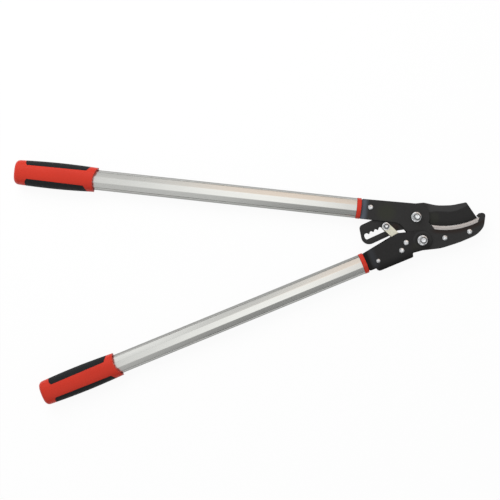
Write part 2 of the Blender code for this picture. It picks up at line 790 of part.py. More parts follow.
def add_ratchet_link():
    pin = (link_length, 0.0)
    holes = [
        circle((0.0, 0.0), RIVET_SHANK_DIAMETER / 2 + FIT),
        circle(pin, RATCHET_PIN_DIAMETER / 2 + FIT),
    ]
    for name, side in (("front_link", 1), ("back_link", -1)):
        heights = sorted((side * JAW_INNER, side * LINK_OUTER))
        item = add_part(name, sheet([link_outline(), *holes], *heights), "zinc", link_body)
        break_edges(item, 0.0003)
    seat = LINK_OUTER + FIT
    nut_seat = seat + RATCHET_WASHER_THICKNESS + FIT
    add_bolt(
        "ratchet_pin",
        link_body,
        pin,
        RATCHET_NUT_FLATS,
        RATCHET_HEAD_HEIGHT,
        RATCHET_PIN_DIAMETER,
        -seat,
        nut_seat + RATCHET_NUT_HEIGHT + STUD_LENGTH,
    )
    sizes = (RATCHET_WASHER_DIAMETER, RATCHET_WASHER_THICKNESS, RATCHET_PIN_DIAMETER)
    add_washer("ratchet_pin_washer", link_body, pin, *sizes, seat)
    add_nut("ratchet_pin_nut", link_body, pin, RATCHET_NUT_FLATS, RATCHET_NUT_HEIGHT, RATCHET_PIN_DIAMETER, nut_seat)


# Lower handle


def bracket_outline():
    """Side view of the folded bracket: tang end, web tab, hub and sloping back."""
    hub = BRACKET_HUB_RADIUS

    def low(x):
        return -hub / math.cos(BRACKET_LOW_SLOPE) + x * math.tan(BRACKET_LOW_SLOPE)

    def high(x):
        return hub / math.cos(BRACKET_HIGH_SLOPE) + x * math.tan(BRACKET_HIGH_SLOPE)

    neck_rear = BRACKET_WEB_REAR - BRACKET_WEB_NECK
    neck_front = BRACKET_WEB_FRONT + BRACKET_WEB_NECK
    corners = [
        (-BRACKET_LENGTH, BRACKET_TANG_LOW, 0.0025),
        (neck_rear, BRACKET_TANG_LOW, 0.0012),
        (BRACKET_WEB_REAR, BRACKET_WEB_Y, 0.0020),
        (BRACKET_WEB_FRONT, BRACKET_WEB_Y, 0.0015),
        (neck_front, low(neck_front), 0.0012),
        (hub, low(hub), hub),
        (hub, high(hub), hub),
        (BRACKET_SHOULDER[0], high(BRACKET_SHOULDER[0]), BRACKET_SHOULDER[1]),
        (-BRACKET_LENGTH, BRACKET_TANG_HIGH, 0.0025),
    ]
    return filleted(corners)


def add_bracket():
    """Channel folded from one sheet: two sides joined by a web under the tab of its outline."""
    holes = [
        circle((0.0, 0.0), PIVOT_BOLT_DIAMETER / 2 + FIT),
        circle(LINK_PIVOT, RIVET_SHANK_DIAMETER / 2 + FIT),
        circle(SPRING_ANCHOR, RIVET_SHANK_DIAMETER / 2 + FIT),
        circle(LOWER_TANG_RIVET_PLACE, RIVET_SHANK_DIAMETER / 2 + FIT),
    ]
    mesh = sheet([bracket_outline(), *holes], -BRACKET_OUTER, BRACKET_OUTER)
    item = add_part("lower_bracket", mesh, "black_steel", lower_body)
    floor = BRACKET_WEB_Y + BRACKET_THICKNESS
    hollow = box((-2 * BRACKET_LENGTH, floor, -BRACKET_INNER), (BRACKET_LENGTH, CUTTER_REACH, BRACKET_INNER))
    combine(item, add_cutter("bracket_channel", hollow, lower_body))
    for side, label in ((1, "front"), (-1, "back")):
        combine(item, add_cutter(f"bracket_fold_{label}", fold_cutter(side), lower_body))
    break_edges(item)


def fold_cutter(side):
    """What the fold's outer radius takes off one long edge of the channel."""
    radius = BRACKET_FOLD_RADIUS
    beyond = radius / 2
    centre = (BRACKET_WEB_Y + radius, side * (BRACKET_OUTER - radius))
    start, end = (math.pi, math.pi / 2) if side > 0 else (math.pi, 1.5 * math.pi)
    loop = arc(centre, radius, start, end)
    loop.append((centre[0], side * (BRACKET_OUTER + beyond)))
    loop.append((BRACKET_WEB_Y - beyond, side * (BRACKET_OUTER + beyond)))
    loop.append((BRACKET_WEB_Y - beyond, centre[1]))
    return bar([loop], BRACKET_WEB_REAR - 0.001, BRACKET_WEB_FRONT + 0.001)


def spring_path():
    """Torsion spring: a leg against the anchor rivet, a coil round the link pivot and a leg hooked on the link."""
    pivot = Vector(LINK_PIVOT)
    anchor = Vector(SPRING_ANCHOR) - pivot
    radius = RIVET_SHANK_DIAMETER / 2 + FIT + SPRING_WIRE / 2 + FIT / 2
    to_anchor = math.atan2(anchor.y, anchor.x)
    hook_across = LINK_WIDTH / 2 + LINK_CRANK[1] + FIT + SPRING_WIRE / 2
    hook = math.hypot(SPRING_HOOK_PLACE, hook_across)
    lean = link_turn + math.atan2(hook_across, SPRING_HOOK_PLACE) - math.asin(radius / hook)
    start = to_anchor - math.pi / 2
    finish = lean + math.pi / 2
    sweep = (start - finish) % math.tau + SPRING_TURNS * math.tau
    reach = JAW_INNER - FIT - SPRING_WIRE / 2
    path = []
    leg = anchor.length + SPRING_OVERRUN
    path.append(Vector((math.cos(start), math.sin(start), 0)) * radius)
    path[0] += Vector((math.cos(to_anchor), math.sin(to_anchor), 0)) * leg
    path[0].z = -reach
    steps = math.ceil(sweep / math.tau * 12)
    for i in range(steps + 1):
        angle = start - sweep * i / steps
        height = -reach + 2 * reach * i / steps
        path.append(Vector((radius * math.cos(angle), radius * math.sin(angle), height)))
    out = path[-1] + Vector((math.cos(lean), math.sin(lean), 0)) * math.sqrt(hook**2 - radius**2)
    path.append(out)
    path.append(Vector((out.x, out.y, LINK_OUTER)))
    return [point + Vector((*pivot, 0)) for point in path]


def least_gap(path, width):
    """Smallest clear distance between stretches of a wire that aren't neighbours along it."""
    fine = []
    for first, second in zip(path, path[1:]):
        steps = max(1, round((second - first).length / (width / 2)))
        fine += [first.lerp(second, i / steps) for i in range(steps)]
    skip = math.ceil(4 * width / (width / 2))
    gaps = []
    for i, point in enumerate(fine):
        gaps += [(point - other).length for other in fine[i + skip :]]
    return min(gaps) - width


def add_spring():
    path = spring_path()
    curve = bpy.data.curves.new("link_spring", "CURVE")
    curve.dimensions = "3D"
    curve.bevel_depth = SPRING_WIRE / 2
    curve.bevel_resolution = 1
    curve.use_fill_caps = True
    spline = curve.splines.new("POLY")
    spline.points.add(len(path) - 1)
    for point, place in zip(spline.points, path):
        point.co = (*place, 1.0)
    item = bpy.data.objects.new("link_spring", curve)
    item.parent = lower_body
    curve.materials.append(materials["spring_steel"])
    parts.objects.link(item)
    print("link_spring least gap to itself, mm:", round(least_gap(path, SPRING_WIRE) * 1000, 3))


def add_lower_head():
    add_bracket()
    seat = BRACKET_OUTER + FIT
    add_rivet("lower_tang_rivet", lower_body, LOWER_TANG_RIVET_PLACE, seat, head=0.0072)
    add_rivet("link_pivot_rivet", lower_body, LINK_PIVOT, seat, head=0.0090)
    add_rivet("spring_anchor_rivet", lower_body, SPRING_ANCHOR, seat)
    add_pivot_fasteners("handle_pivot", lower_body, (0.0, 0.0), HANDLE_PIVOT_SEAT)
    add_spring()


# Handles


def tube_outline(grow=0.0):
    """Oval tube with three flats on each face and rounded sides, grown or shrunk by a distance."""
    w = TUBE_WIDTH / 2 + grow
    d = TUBE_DEPTH / 2 + grow
    side_radius = TUBE_SIDE_RADIUS + grow
    quarter = [
        (w, d * TUBE_WAIST_SHARE, side_radius),
        (w - TUBE_SHOULDER_IN, d * TUBE_SHOULDER_SHARE, side_radius),
        (TUBE_FLAT_HALF, d, TUBE_RIDGE_RADIUS + grow),
    ]
    corners = quarter + [(-x, y, r) for x, y, r in reversed(quarter)]
    corners += [(-x, -y, r) for x, y, r in quarter] + [(x, -y, r) for x, y, r in reversed(quarter)]
    return filleted(corners)


def grip_ring(x, half_width, half_depth, y):
    count = 28
    power = 2 / GRIP_SQUARENESS
    ring = []
    for i in range(count):
        angle = math.tau * (i + 0.5) / count
        c, s = math.cos(angle), math.sin(angle)
        across = math.copysign(abs(c) ** power, c) * half_width
        up = math.copysign(abs(s) ** power, s) * half_depth
        ring.append((x, y + across, up))
    return ring


def grip_barrel(rear, y, outer_side, inset=0.0):
    """Barrel of a grip: swelling to its middle, leaning to the inner side at its rounded end."""
    length = GRIP_LENGTH
    rounding = GRIP_END_ROUNDING
    rings = []
    places = [rounding * (1 - math.cos(math.radians(a))) for a in (0, 30, 60, 90)]
    places += [rounding + (length - rounding) * i / 7 for i in range(1, 8)]
    for place in places:
        swell = math.sin(math.pi * place / length)
        half_width = (GRIP_END_WIDTH + (GRIP_MIDDLE_WIDTH - GRIP_END_WIDTH) * swell) / 2
        half_depth = REST_HEIGHT * (GRIP_END_DEPTH_SHARE + (1 - GRIP_END_DEPTH_SHARE) * swell)
        if place < rounding:
            lost = rounding - math.sqrt(rounding**2 - (rounding - place) ** 2)
            half_width -= lost
            half_depth -= lost
        lean = -outer_side * GRIP_LEAN * (1 - place / length)
        rings.append(grip_ring(rear + place, half_width - inset, half_depth - inset, y + lean))
    return loft(rings)


def pad_outline(rear, y, side, grow=0.0):
    """Pad seen from the front: a long strip along one side, slanted at its front end."""
    beyond = GRIP_MIDDLE_WIDTH
    corners = [
        (rear + PAD_REAR - grow, PAD_REAR_EDGE - grow, 0.0030),
        (rear + PAD_FRONT - PAD_SLANT + grow, PAD_FRONT_EDGE - grow, 0.0020),
        (rear + PAD_FRONT + grow, PAD_FRONT_EDGE - grow + PAD_SLANT * 1.4, 0.0020),
        (rear + PAD_FRONT + grow, beyond, 0.0),
        (rear + PAD_REAR - grow, beyond, 0.0),
    ]
    return filleted([(x, y + side * across, radius) for x, across, radius in corners])


def add_handle(end, parent, start, y, outer_side, core_half, core_overlap):
    """Tube, collar, core, grip and pads of one handle, whose bracket or plates end at start."""
    collar_front = start - FIT
    collar_rear = collar_front - COLLAR_LENGTH
    tube_front = collar_rear - FIT
    tube_rear = tube_front - TUBE_LENGTHS[end]
    grip_rear = tube_rear - FIT - GRIP_END_WALL

    add_part(f"{end}_tube", bar([tube_outline(), tube_outline(-TUBE_WALL)], tube_rear, tube_front, y), "tube_aluminium", parent)

    collar = add_part(f"{end}_collar", bar([tube_outline(COLLAR_PROUD)], collar_rear, collar_front, y), "red_plastic", parent)
    plug_mesh = bar([tube_outline(-TUBE_WALL - FIT)], tube_front - PLUG_LENGTH, collar_rear + COLLAR_LENGTH / 2, y)
    combine(collar, add_cutter(f"{end}_plug", plug_mesh, parent), "UNION")
    slot = box(
        (tube_rear, y - CORE_WIDTH / 2 - FIT, -core_half - FIT),
        (start, y + CORE_WIDTH / 2 + FIT, core_half + FIT),
    )
    combine(collar, add_cutter(f"{end}_core_slot", slot, parent))

    rivet = UPPER_TANG_RIVET_PLACE if end == "upper" else LOWER_TANG_RIVET_PLACE
    core_rear = start - CORE_IN_TUBE
    core_front = start + core_overlap
    core = filleted([
        (core_rear, y - CORE_WIDTH / 2, 0.0030),
        (core_front, y - CORE_WIDTH / 2, 0.0020),
        (core_front, y + CORE_WIDTH / 2, 0.0020),
        (core_rear, y + CORE_WIDTH / 2, 0.0030),
    ])
    loops = [core, circle(rivet, RIVET_SHANK_DIAMETER / 2 + FIT)]
    add_part(f"{end}_tang_core", sheet(loops, -core_half, core_half), "zinc", parent)

    grip = add_part(f"{end}_grip", grip_barrel(grip_rear, y, outer_side), "red_plastic", parent)
    bore = bar([tube_outline(FIT)], tube_rear - FIT, grip_rear + 2 * GRIP_LENGTH, y)
    combine(grip, add_cutter(f"{end}_grip_bore", bore, parent))
    mouth_x = grip_rear + GRIP_LENGTH - GRIP_MOUTH_SCOOP + GRIP_MOUTH_RADIUS
    mouth = sheet([circle((mouth_x, y - outer_side * GRIP_MOUTH_OFFSET), GRIP_MOUTH_RADIUS)], -CUTTER_REACH, CUTTER_REACH)
    combine(grip, add_cutter(f"{end}_grip_mouth", mouth, parent))
    for label, side in (("outer", outer_side), ("inner", -outer_side)):
        add_pad(f"{end}_grip_pad_{label}", parent, grip, grip_rear, y, side, outer_side)


def add_pad(name, parent, grip, rear, y, side, outer_side):
    """Soft pad let into one side of a grip, flush with it."""
    recess = add_cutter(f"{name}_recess", sheet([pad_outline(rear, y, side, FIT)], -CUTTER_REACH, CUTTER_REACH), parent)
    floor = grip_barrel(rear, y, outer_side, PAD_DEPTH + FIT)
    combine(recess, add_cutter(f"{name}_recess_floor", floor, parent))
    combine(grip, recess)
    pad = add_part(name, grip_barrel(rear, y, outer_side), "soft_black", parent)
    combine(pad, add_cutter(f"{name}_bounds", sheet([pad_outline(rear, y, side)], -CUTTER_REACH, CUTTER_REACH), parent), "INTERSECT")
    combine(pad, add_cutter(f"{name}_floor", grip_barrel(rear, y, outer_side, PAD_DEPTH), parent))


def centre_on_floor():
    """Move the whole lopper so that its box is centred on the origin and stands on the floor."""
    bpy.context.view_layer.update()
    depsgraph = bpy.context.evaluated_depsgraph_get()
    corners = []
    for item in parts.objects:
        if item.type == "EMPTY":
            continue
        shape = item.evaluated_get(depsgraph)
        mesh = shape.to_mesh()
        corners += [shape.matrix_world @ vert.co for vert in mesh.vertices]
        shape.to_mesh_clear()
    low = [min(corner[i] for corner in corners) for i in range(3)]
    high = [max(corner[i] for corner in corners) for i in range(3)]
    root.location = (-(low[0] + high[0]) / 2, -(low[1] + high[1]) / 2, -low[2])
    bpy.context.view_layer.update()


clear_scene()
parts = new_collection(NAME)
cutters = new_collection(f"{NAME}_cutters")
materials = {name: new_material(name) for name in COLOURS}

root = new_empty("lopper_frame", (0.0, 0.0))
blade_body = new_empty("blade_pivot", (0.0, 0.0), parent=root)
lower_body = new_empty("handle_pivot", HANDLE_PIVOT, HANDLE_ANGLE, root)

link_base = turned_about([LINK_PIVOT], HANDLE_PIVOT, HANDLE_ANGLE)[0]
link_reach = Vector(RATCHET_PIN_PLACE) - Vector(link_base)
link_length = link_reach.length
link_turn = math.atan2(link_reach.y, link_reach.x) - HANDLE_ANGLE
link_body = new_empty("link_pivot", LINK_PIVOT, link_turn, lower_body)

add_jaw_frame()
add_blade()
add_lower_head()
add_ratchet_link()
add_handle("upper", root, -TANG_LENGTH, UPPER_TUBE_Y, 1, JAW_INNER - FIT, UPPER_CORE_OVERLAP)
add_handle("lower", lower_body, -BRACKET_LENGTH, LOWER_TUBE_Y, -1, BRACKET_INNER - FIT, LOWER_CORE_OVERLAP)
centre_on_floor()
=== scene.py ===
"""Ratchet anvil lopper: the finished look of every piece, laid out as an add-on and run as a script.

Units are metres. A piece is modelled upright or in the frame of the body that carries it, and then laid in
its place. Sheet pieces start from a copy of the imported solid, and turned, drawn and moulded ones from
primitives.
"""

import json
import math
from contextlib import contextmanager

import bmesh
import bpy
import numpy as np
from bpy.props import FloatProperty, FloatVectorProperty, PointerProperty
from mathutils import Matrix, Vector

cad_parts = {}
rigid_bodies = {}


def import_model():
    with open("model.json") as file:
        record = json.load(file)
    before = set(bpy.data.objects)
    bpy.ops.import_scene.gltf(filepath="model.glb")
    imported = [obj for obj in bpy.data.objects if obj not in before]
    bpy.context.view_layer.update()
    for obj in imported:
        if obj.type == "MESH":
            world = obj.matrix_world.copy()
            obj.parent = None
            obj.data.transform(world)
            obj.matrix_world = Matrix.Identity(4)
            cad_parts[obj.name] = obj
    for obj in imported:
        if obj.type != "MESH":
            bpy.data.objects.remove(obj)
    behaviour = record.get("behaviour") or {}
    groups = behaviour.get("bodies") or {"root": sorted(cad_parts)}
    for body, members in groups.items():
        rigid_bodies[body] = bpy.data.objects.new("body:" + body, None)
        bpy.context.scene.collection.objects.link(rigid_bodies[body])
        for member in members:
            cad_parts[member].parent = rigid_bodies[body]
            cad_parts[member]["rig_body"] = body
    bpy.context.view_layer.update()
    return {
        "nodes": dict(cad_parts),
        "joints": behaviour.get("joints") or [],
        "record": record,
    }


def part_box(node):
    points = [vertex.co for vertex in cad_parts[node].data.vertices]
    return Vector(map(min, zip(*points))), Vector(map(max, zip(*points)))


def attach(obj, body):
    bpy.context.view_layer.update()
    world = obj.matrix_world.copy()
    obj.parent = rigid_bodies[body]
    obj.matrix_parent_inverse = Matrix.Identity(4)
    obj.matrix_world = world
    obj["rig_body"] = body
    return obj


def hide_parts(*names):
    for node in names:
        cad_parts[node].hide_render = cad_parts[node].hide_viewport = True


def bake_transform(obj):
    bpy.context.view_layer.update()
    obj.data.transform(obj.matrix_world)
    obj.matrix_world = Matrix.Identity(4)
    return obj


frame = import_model()

bl_info = {
    "name": "Ratchet anvil lopper",
    "version": (1, 0, 0),
    "blender": (4, 5, 0),
    "location": "View3D > Sidebar > Lopper",
    "description": "Models and finishes the pieces of a ratchet anvil lopper",
    "category": "Add Mesh",
}

# Clearance between touching pieces, and that of a pressed-on grip
FIT = 0.0003
SEAT = 0.00005

# Distance within which corners count as one, on any piece and round the mouth of a grip
WELD = 0.00001
MOUTH_WELD = 0.0008

# Point beside every plane of symmetry, from which the corners of a cut piece are sorted by distance
ORDER_FROM = (0.313, 0.177, 0.239)

# From the blade pivot to the point under the camera
PICTURE_MIDDLE = (-0.25758, -0.08088)

# Lays an upright bar along X, with its own X across and its own Y up
LAY = Matrix(((0, 0, 1, 0), (1, 0, 0, 0), (0, 1, 0, 0), (0, 0, 0, 1)))

# Arcs of the cutting edge and the anvil's face, from the blade pivot
CUT_CENTRE = (0.0350, 0.1017)
ANVIL_RADIUS = 0.1120
ANVIL_HEIGHT = 0.0062

SLOTS = {part["node"]: part["material_slot"] for part in frame["record"]["subparts"]}

# Meshes of the pieces that repeat, by the function and the values that made them
PATTERNS = {}


# Places and frames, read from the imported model


def joint_place(name):
    return next(Vector(joint["pos_m"]) for joint in frame["joints"] if joint["name"] == name)


def tube_axis(end):
    """Middle of a tube's front end, and the way that the tube runs towards the jaws."""
    corners = {tuple(round(c, 6) for c in vert.co) for vert in frame["nodes"][f"{end}_tube"].data.vertices}
    points = np.array(sorted(corners))
    middle = points.mean(axis=0)
    way = np.linalg.svd(points - middle, full_matrices=False)[2][0]
    way *= np.sign(way[0])
    return Vector(middle + way * ((points - middle) @ way).max()), Vector(way)


def placed(place, way):
    """Frame at a place in the lopper's plane, with its X axis along a way."""
    return Matrix.Translation(place) @ Matrix.Rotation(math.atan2(way.y, way.x), 4, "Z")


def middle_of(node):
    low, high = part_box(node)
    return (low + high) / 2


def extent(node, place):
    """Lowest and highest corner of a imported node, in a frame."""
    back = place.inverted()
    points = np.array([back @ vert.co for vert in frame["nodes"][node].data.vertices])
    return Vector(points.min(axis=0)), Vector(points.max(axis=0))


HANDLES = {end: placed(*tube_axis(end)) for end in ("upper", "lower")}
LOWER_WAY = tube_axis("lower")[1]
BODY_FRAMES = {
    "jaw_frame": Matrix.Translation(joint_place("blade_hinge")),
    "blade": Matrix.Translation(joint_place("blade_hinge")),
    "lower_handle": placed(joint_place("handle_hinge"), LOWER_WAY),
    "ratchet_link": placed(joint_place("link_hinge"), middle_of("ratchet_pin") - joint_place("link_hinge")),
}


# Sizes and colours that a user would change


def length(name, default, description):
    return FloatProperty(name=name, description=description, default=default, unit="LENGTH", precision=5)


def colour(name, default, description):
    return FloatVectorProperty(
        name=name, description=description, default=default, size=3, subtype="COLOR", min=0.0, max=1.0
    )


class LopperSizes(bpy.types.PropertyGroup):
    edge_round: length("Edge round", 0.0004, "Rounding of the edges of small metal pieces")
    rivet_shank: length("Rivet shank", 0.0050, "Diameter of a rivet between its heads")
    rivet_head: length("Rivet head", 0.0021, "Height of a rivet's domed head")
    pivot_bolt: length("Pivot bolt", 0.0080, "Diameter of the two pivot bolts")
    pivot_head: length("Pivot bolt head", 0.0053, "Height of a pivot bolt's head")
    pivot_pitch: length("Pivot thread pitch", 0.00125, "Thread pitch of the pivot bolts")
    pin_bolt: length("Ratchet pin", 0.0050, "Diameter of the ratchet pin")
    pin_head: length("Ratchet pin head", 0.0032, "Height of the ratchet pin's head")
    pin_pitch: length("Ratchet pin pitch", 0.0008, "Thread pitch of the ratchet pin")
    spring_wire: length("Spring wire", 0.0009, "Diameter of the link spring's wire")
    spring_hook: length("Spring hook", 0.0110, "From the link's pivot to the spring's hook, along the link")
    spring_hook_across: length("Spring hook across", 0.00845, "From the link's middle line to the hook")
    spring_overrun: length("Spring overrun", 0.0022, "How far the spring's leg runs past its rivet")
    spring_turns: FloatProperty(name="Spring turns", description="Whole turns of the spring", default=2.0)
    anvil_groove: length("Anvil groove", 0.0007, "Width of the groove along the anvil")
    tube_wall: length("Tube wall", 0.0015, "Wall of the handle tubes")
    tube_flat: length("Tube flat", 0.0046, "Half the width of a tube's upper flat")
    tube_shoulder: length("Tube shoulder", 0.0028, "How far a tube's shoulder lies in from its side")
    tube_ridge_round: length("Ridge round", 0.0025, "Radius of the ridges along a tube")
    tube_side_round: length("Side round", 0.0040, "Radius of a tube's side corners")
    collar_proud: length("Collar proud", 0.0006, "How far a collar stands out from its tube")
    collar_round: length("Collar round", 0.0009, "Rounding of a collar's rims")
    plug_length: length("Plug length", 0.0280, "Length of the collar's plug inside the tube")
    grip_length: length("Grip length", 0.1320, "Length of a grip")
    grip_end_width: length("Grip end width", 0.0386, "Width of a grip at its ends")
    grip_middle_width: length("Grip middle width", 0.0422, "Width of a grip at its middle")
    grip_lean: length("Grip lean", 0.0012, "How far a grip's rear end leans to the inner side")
    grip_end_round: length("Grip end round", 0.0070, "Rounding of a grip's rear end")
    grip_mouth_radius: length("Grip mouth radius", 0.0500, "Radius of the scoop at a grip's mouth")
    grip_mouth_offset: length("Grip mouth offset", 0.0050, "How far the scoop's middle lies inwards")
    grip_mouth_scoop: length("Grip mouth scoop", 0.0065, "Depth of the scoop at a grip's mouth")
    grip_mouth_round: length("Grip mouth round", 0.0012, "Rounding of the outer edge of a grip's mouth")
    pad_depth: length("Pad depth", 0.0018, "Depth of a soft pad in its grip")
    pad_rear_edge: length("Pad rear edge", 0.0111, "From a grip's middle line to a pad, at the rear")
    pad_front_edge: length("Pad front edge", 0.0123, "From a grip's middle line to a pad, at the front")
    pad_rear_outer: length("Outer pad rear", 0.0176, "From a grip's rear end to the outer pad")
    pad_rear_inner: length("Inner pad rear", 0.0190, "From a grip's rear end to the inner pad")
    pad_front_outer: length("Outer pad front", 0.1200, "From a grip's rear end to the outer pad's front tip")
    pad_front_inner: length("Inner pad front", 0.1172, "From a grip's rear end to the inner pad's front tip")
    pad_slant: length("Pad slant", 0.0055, "Length of the slant at a pad's front end")
    pad_rear_slant: length("Pad rear slant", 0.0026, "Length of the slant at a pad's rear end")


class LopperColours(bpy.types.PropertyGroup):
    paint: colour("Black paint", (0.0165, 0.0163, 0.0163), "Matt black coat of the head")
    paint_olive: colour("Olive tint", (0.0204, 0.0221, 0.0153), "Tint of the black coat in places")
    paint_brown: colour("Brown tint", (0.0120, 0.0058, 0.0040), "Tint of the coat near the anvil and link")
    # Painted highlight: a lighter tint along the blade's spine and round the bracket's hub, in place of light
    # caught there.
    paint_worn: colour("Worn coat", (0.0325, 0.0325, 0.0327), "Lighter coat on the blade's spine and the hub")
    # Painted highlight: the bluish tint stands in for light caught by the tilted, pressed step of the tang.
    paint_blue: colour("Blue tint", (0.0780, 0.0920, 0.1150), "Bluish coat on the pressed step of the tang")
    # Painted shade: a near-black tint that darkens the bracket towards its fold and behind its rear end.
    paint_deep: colour("Deep black", (0.0020, 0.0020, 0.0022), "Thicker coat in the folds of the bracket")
    red: colour("Red plastic", (0.545, 0.031, 0.015), "Grips and collars")
    pad: colour("Soft black", (0.0085, 0.0095, 0.0105), "Soft pads of the grips")
    aluminium: colour("Aluminium", (0.760, 0.765, 0.735), "Handle tubes")
    anvil: colour("Anvil", (0.530, 0.500, 0.482), "Soft metal of the anvil")
    bright: colour("Bright plate", (0.640, 0.650, 0.660), "Bolts, nuts, washers and rivets")
    zinc: colour("Zinc plate", (0.700, 0.690, 0.570), "Links and the cores of the tangs")
    wire: colour("Spring wire", (0.420, 0.420, 0.430), "Link spring")
    nylon: colour("Nylon", (0.085, 0.088, 0.092), "Locking ring of the nuts")


class LopperStudio(bpy.types.PropertyGroup):
    floor: colour("Floor", (0.92, 0.92, 0.92), "Plain pale floor")
    world: FloatProperty(name="World", description="Strength of the pale surroundings", default=0.55)
    key: FloatProperty(name="Key light", description="Power of the soft light", default=26.0, unit="POWER")
    lens: FloatProperty(name="Lens", description="Focal length in millimetres", default=64.8)
    camera_height: length("Camera height", 1.4400, "Height of the camera above the middle of the jaws")
    camera_turn: FloatProperty(
        name="Camera turn", description="Turn of the picture against the upper handle",
        default=math.radians(6.19), subtype="ANGLE", unit="ROTATION",
    )


def sizes():
    return bpy.context.scene.lopper_sizes


def colours():
    return bpy.context.scene.lopper_colours


# Modelling by hand


def alone(item):
    """Make an object the only one selected, and the active one."""
    for other in bpy.context.selected_objects:
        other.select_set(False)
    bpy.context.view_layer.objects.active = item
    item.select_set(True)


@contextmanager
def editing(item, kind="FACE"):
    alone(item)
    bpy.ops.object.mode_set(mode="EDIT")
    bpy.context.tool_settings.mesh_select_mode = [kind == mode for mode in ("VERT", "EDGE", "FACE")]
    bpy.ops.mesh.select_all(action="SELECT")
    yield
    bpy.ops.object.mode_set(mode="OBJECT")


def pick(item, kind, test):
    """Select the verts, edges or faces that pass a test, and nothing else."""
    bpy.ops.mesh.select_all(action="DESELECT")
    shape = bmesh.from_edit_mesh(item.data)
    for element in getattr(shape, kind):
        if test(element):
            element.select_set(True)
    bmesh.update_edit_mesh(item.data)


def modify(item, kind, **settings):
    """Add a modifier and apply it."""
    modifier = item.modifiers.new(kind.title(), kind)
    for name, value in settings.items():
        setattr(modifier, name, value)
    alone(item)
    bpy.ops.object.modifier_apply(modifier=modifier.name)


def join(item, tool, operation):
    """Cut, unite or intersect an item with a tool, which is used up, and sort the corners by distance.

    The corners themselves still differ a little from run to run, which the sorting doesn't change.
    """
    modify(item, "BOOLEAN", operation=operation, object=tool, solver="EXACT")
    bpy.data.objects.remove(tool)
    bpy.context.scene.cursor.location = ORDER_FROM
    with editing(item, "VERT"):
        bpy.ops.mesh.sort_elements(type="CURSOR_DISTANCE", elements={"VERT", "EDGE", "FACE"})


def soften(item, width, segments=2, angle=40.0):
    """Round the edges that are sharper than an angle in degrees."""
    modify(
        item, "BEVEL", width=width, segments=segments, limit_method="ANGLE",
        angle_limit=math.radians(angle), harden_normals=False,
    )


def face_outwards():
    """Turn all faces of the mesh in edit mode outwards."""
    bpy.ops.mesh.select_all(action="SELECT")
    bpy.ops.mesh.normals_make_consistent(inside=False)


def added(name, data):
    """A new object in the scene."""
    item = bpy.data.objects.new(name, data)
    bpy.context.scene.collection.objects.link(item)
    return item


def loop(name, spots, fill="NOTHING"):
    """A closed loop through some corners."""
    bpy.ops.mesh.primitive_circle_add(vertices=len(spots), fill_type=fill, location=(0.0, 0.0, 0.0))
    item = bpy.context.object
    item.name = name
    for vert, spot in zip(item.data.vertices, spots):
        vert.co = spot
    return item


def lay(item, place):
    """Move a piece that was modelled at the origin to its place, and keep the place in its mesh."""
    item.matrix_world = place
    alone(item)
    bpy.ops.object.transform_apply()
    if place.is_negative:
        with editing(item):
            face_outwards()


def repeated(make, *values):
    """What repeats, modelled once to a hundredth of a millimetre, and copied after that with its own mesh."""
    values = [round(value, 5) for value in values]
    key = (make.__name__, *values)
    if key not in PATTERNS:
        item = make(*values)
        PATTERNS[key] = item.data.copy()
        return item
    return added(make.__name__, PATTERNS[key].copy())


def ring(height, wide, deep=None, lean=0.0):
    """Middle and half widths of one ring of a drawn solid."""
    return Vector((lean, 0.0, height)), wide, wide if deep is None else deep


def drawn(name, sides, rings, squareness=2.0):
    """A closed solid drawn up ring by ring: each a height, one or two half widths, and a shift sideways."""
    rings = [ring(*values) for values in rings]
    start, wide, deep = rings[0]
    bpy.ops.mesh.primitive_circle_add(vertices=sides, radius=1.0, fill_type="NGON", location=(0.0, 0.0, 0.0))
    item = bpy.context.object
    item.name = name
    for vert in item.data.vertices:
        for i in range(2):
            vert.co[i] *= max(abs(vert.co[i]), WELD) ** (2.0 / squareness - 1.0)
    with editing(item):
        bpy.ops.transform.resize(value=(wide, deep, 1.0), center_override=(0.0, 0.0, 0.0))
        bpy.ops.transform.translate(value=start)
        for before, after in zip(rings, rings[1:]):
            bpy.ops.mesh.extrude_region_move(TRANSFORM_OT_translate={"value": after[0] - before[0]})
            scale = (after[1] / before[1], after[2] / before[2], 1.0)
            bpy.ops.transform.resize(value=scale, center_override=after[0])
        face_outwards()
    return item


def prism(name, corners, low, high, filled=True, segments=6):
    """A straight bar drawn up from an anticlockwise outline, whose corners are x, y and a fillet radius."""
    spots = [Vector(corner[:2]) for corner in corners]
    item = loop(name, [(*spot, low) for spot in spots], "NGON" if filled else "NOTHING")
    with editing(item, "EDGE"):
        bpy.ops.mesh.extrude_region_move(TRANSFORM_OT_translate={"value": (0.0, 0.0, high - low)})
        for i, spot in enumerate(spots):
            if not corners[i][2]:
                continue
            back, on = spots[i - 1] - spot, spots[(i + 1) % len(spots)] - spot
            pick(item, "edges", lambda edge: all((vert.co.xy - spot).length < WELD for vert in edge.verts))
            reach = corners[i][2] / math.tan(back.angle(on) / 2)
            bpy.ops.mesh.bevel(offset=reach, segments=segments, affect="EDGES", clamp_overlap=True)
        face_outwards()
    return item


def turned(name, outline, sides=64):
    """A piece turned on a lathe: height and radius pairs from the bottom up."""
    return drawn(name, sides, outline)


def bored(item, radius, low, high):
    """Drill an item upright through its middle."""
    join(item, turned("drill", [(low, radius), (high, radius)]), "DIFFERENCE")


def copied(node):
    """A copy of a packed sheet with its corners joined and its flat faces whole again."""
    item = added(node, frame["nodes"][node].data.copy())
    item.data.materials.clear()
    with editing(item):
        bpy.ops.mesh.customdata_custom_splitnormals_clear()
        bpy.ops.mesh.remove_doubles(threshold=WELD)
        bpy.ops.mesh.dissolve_limited(angle_limit=math.radians(0.3))
    return item


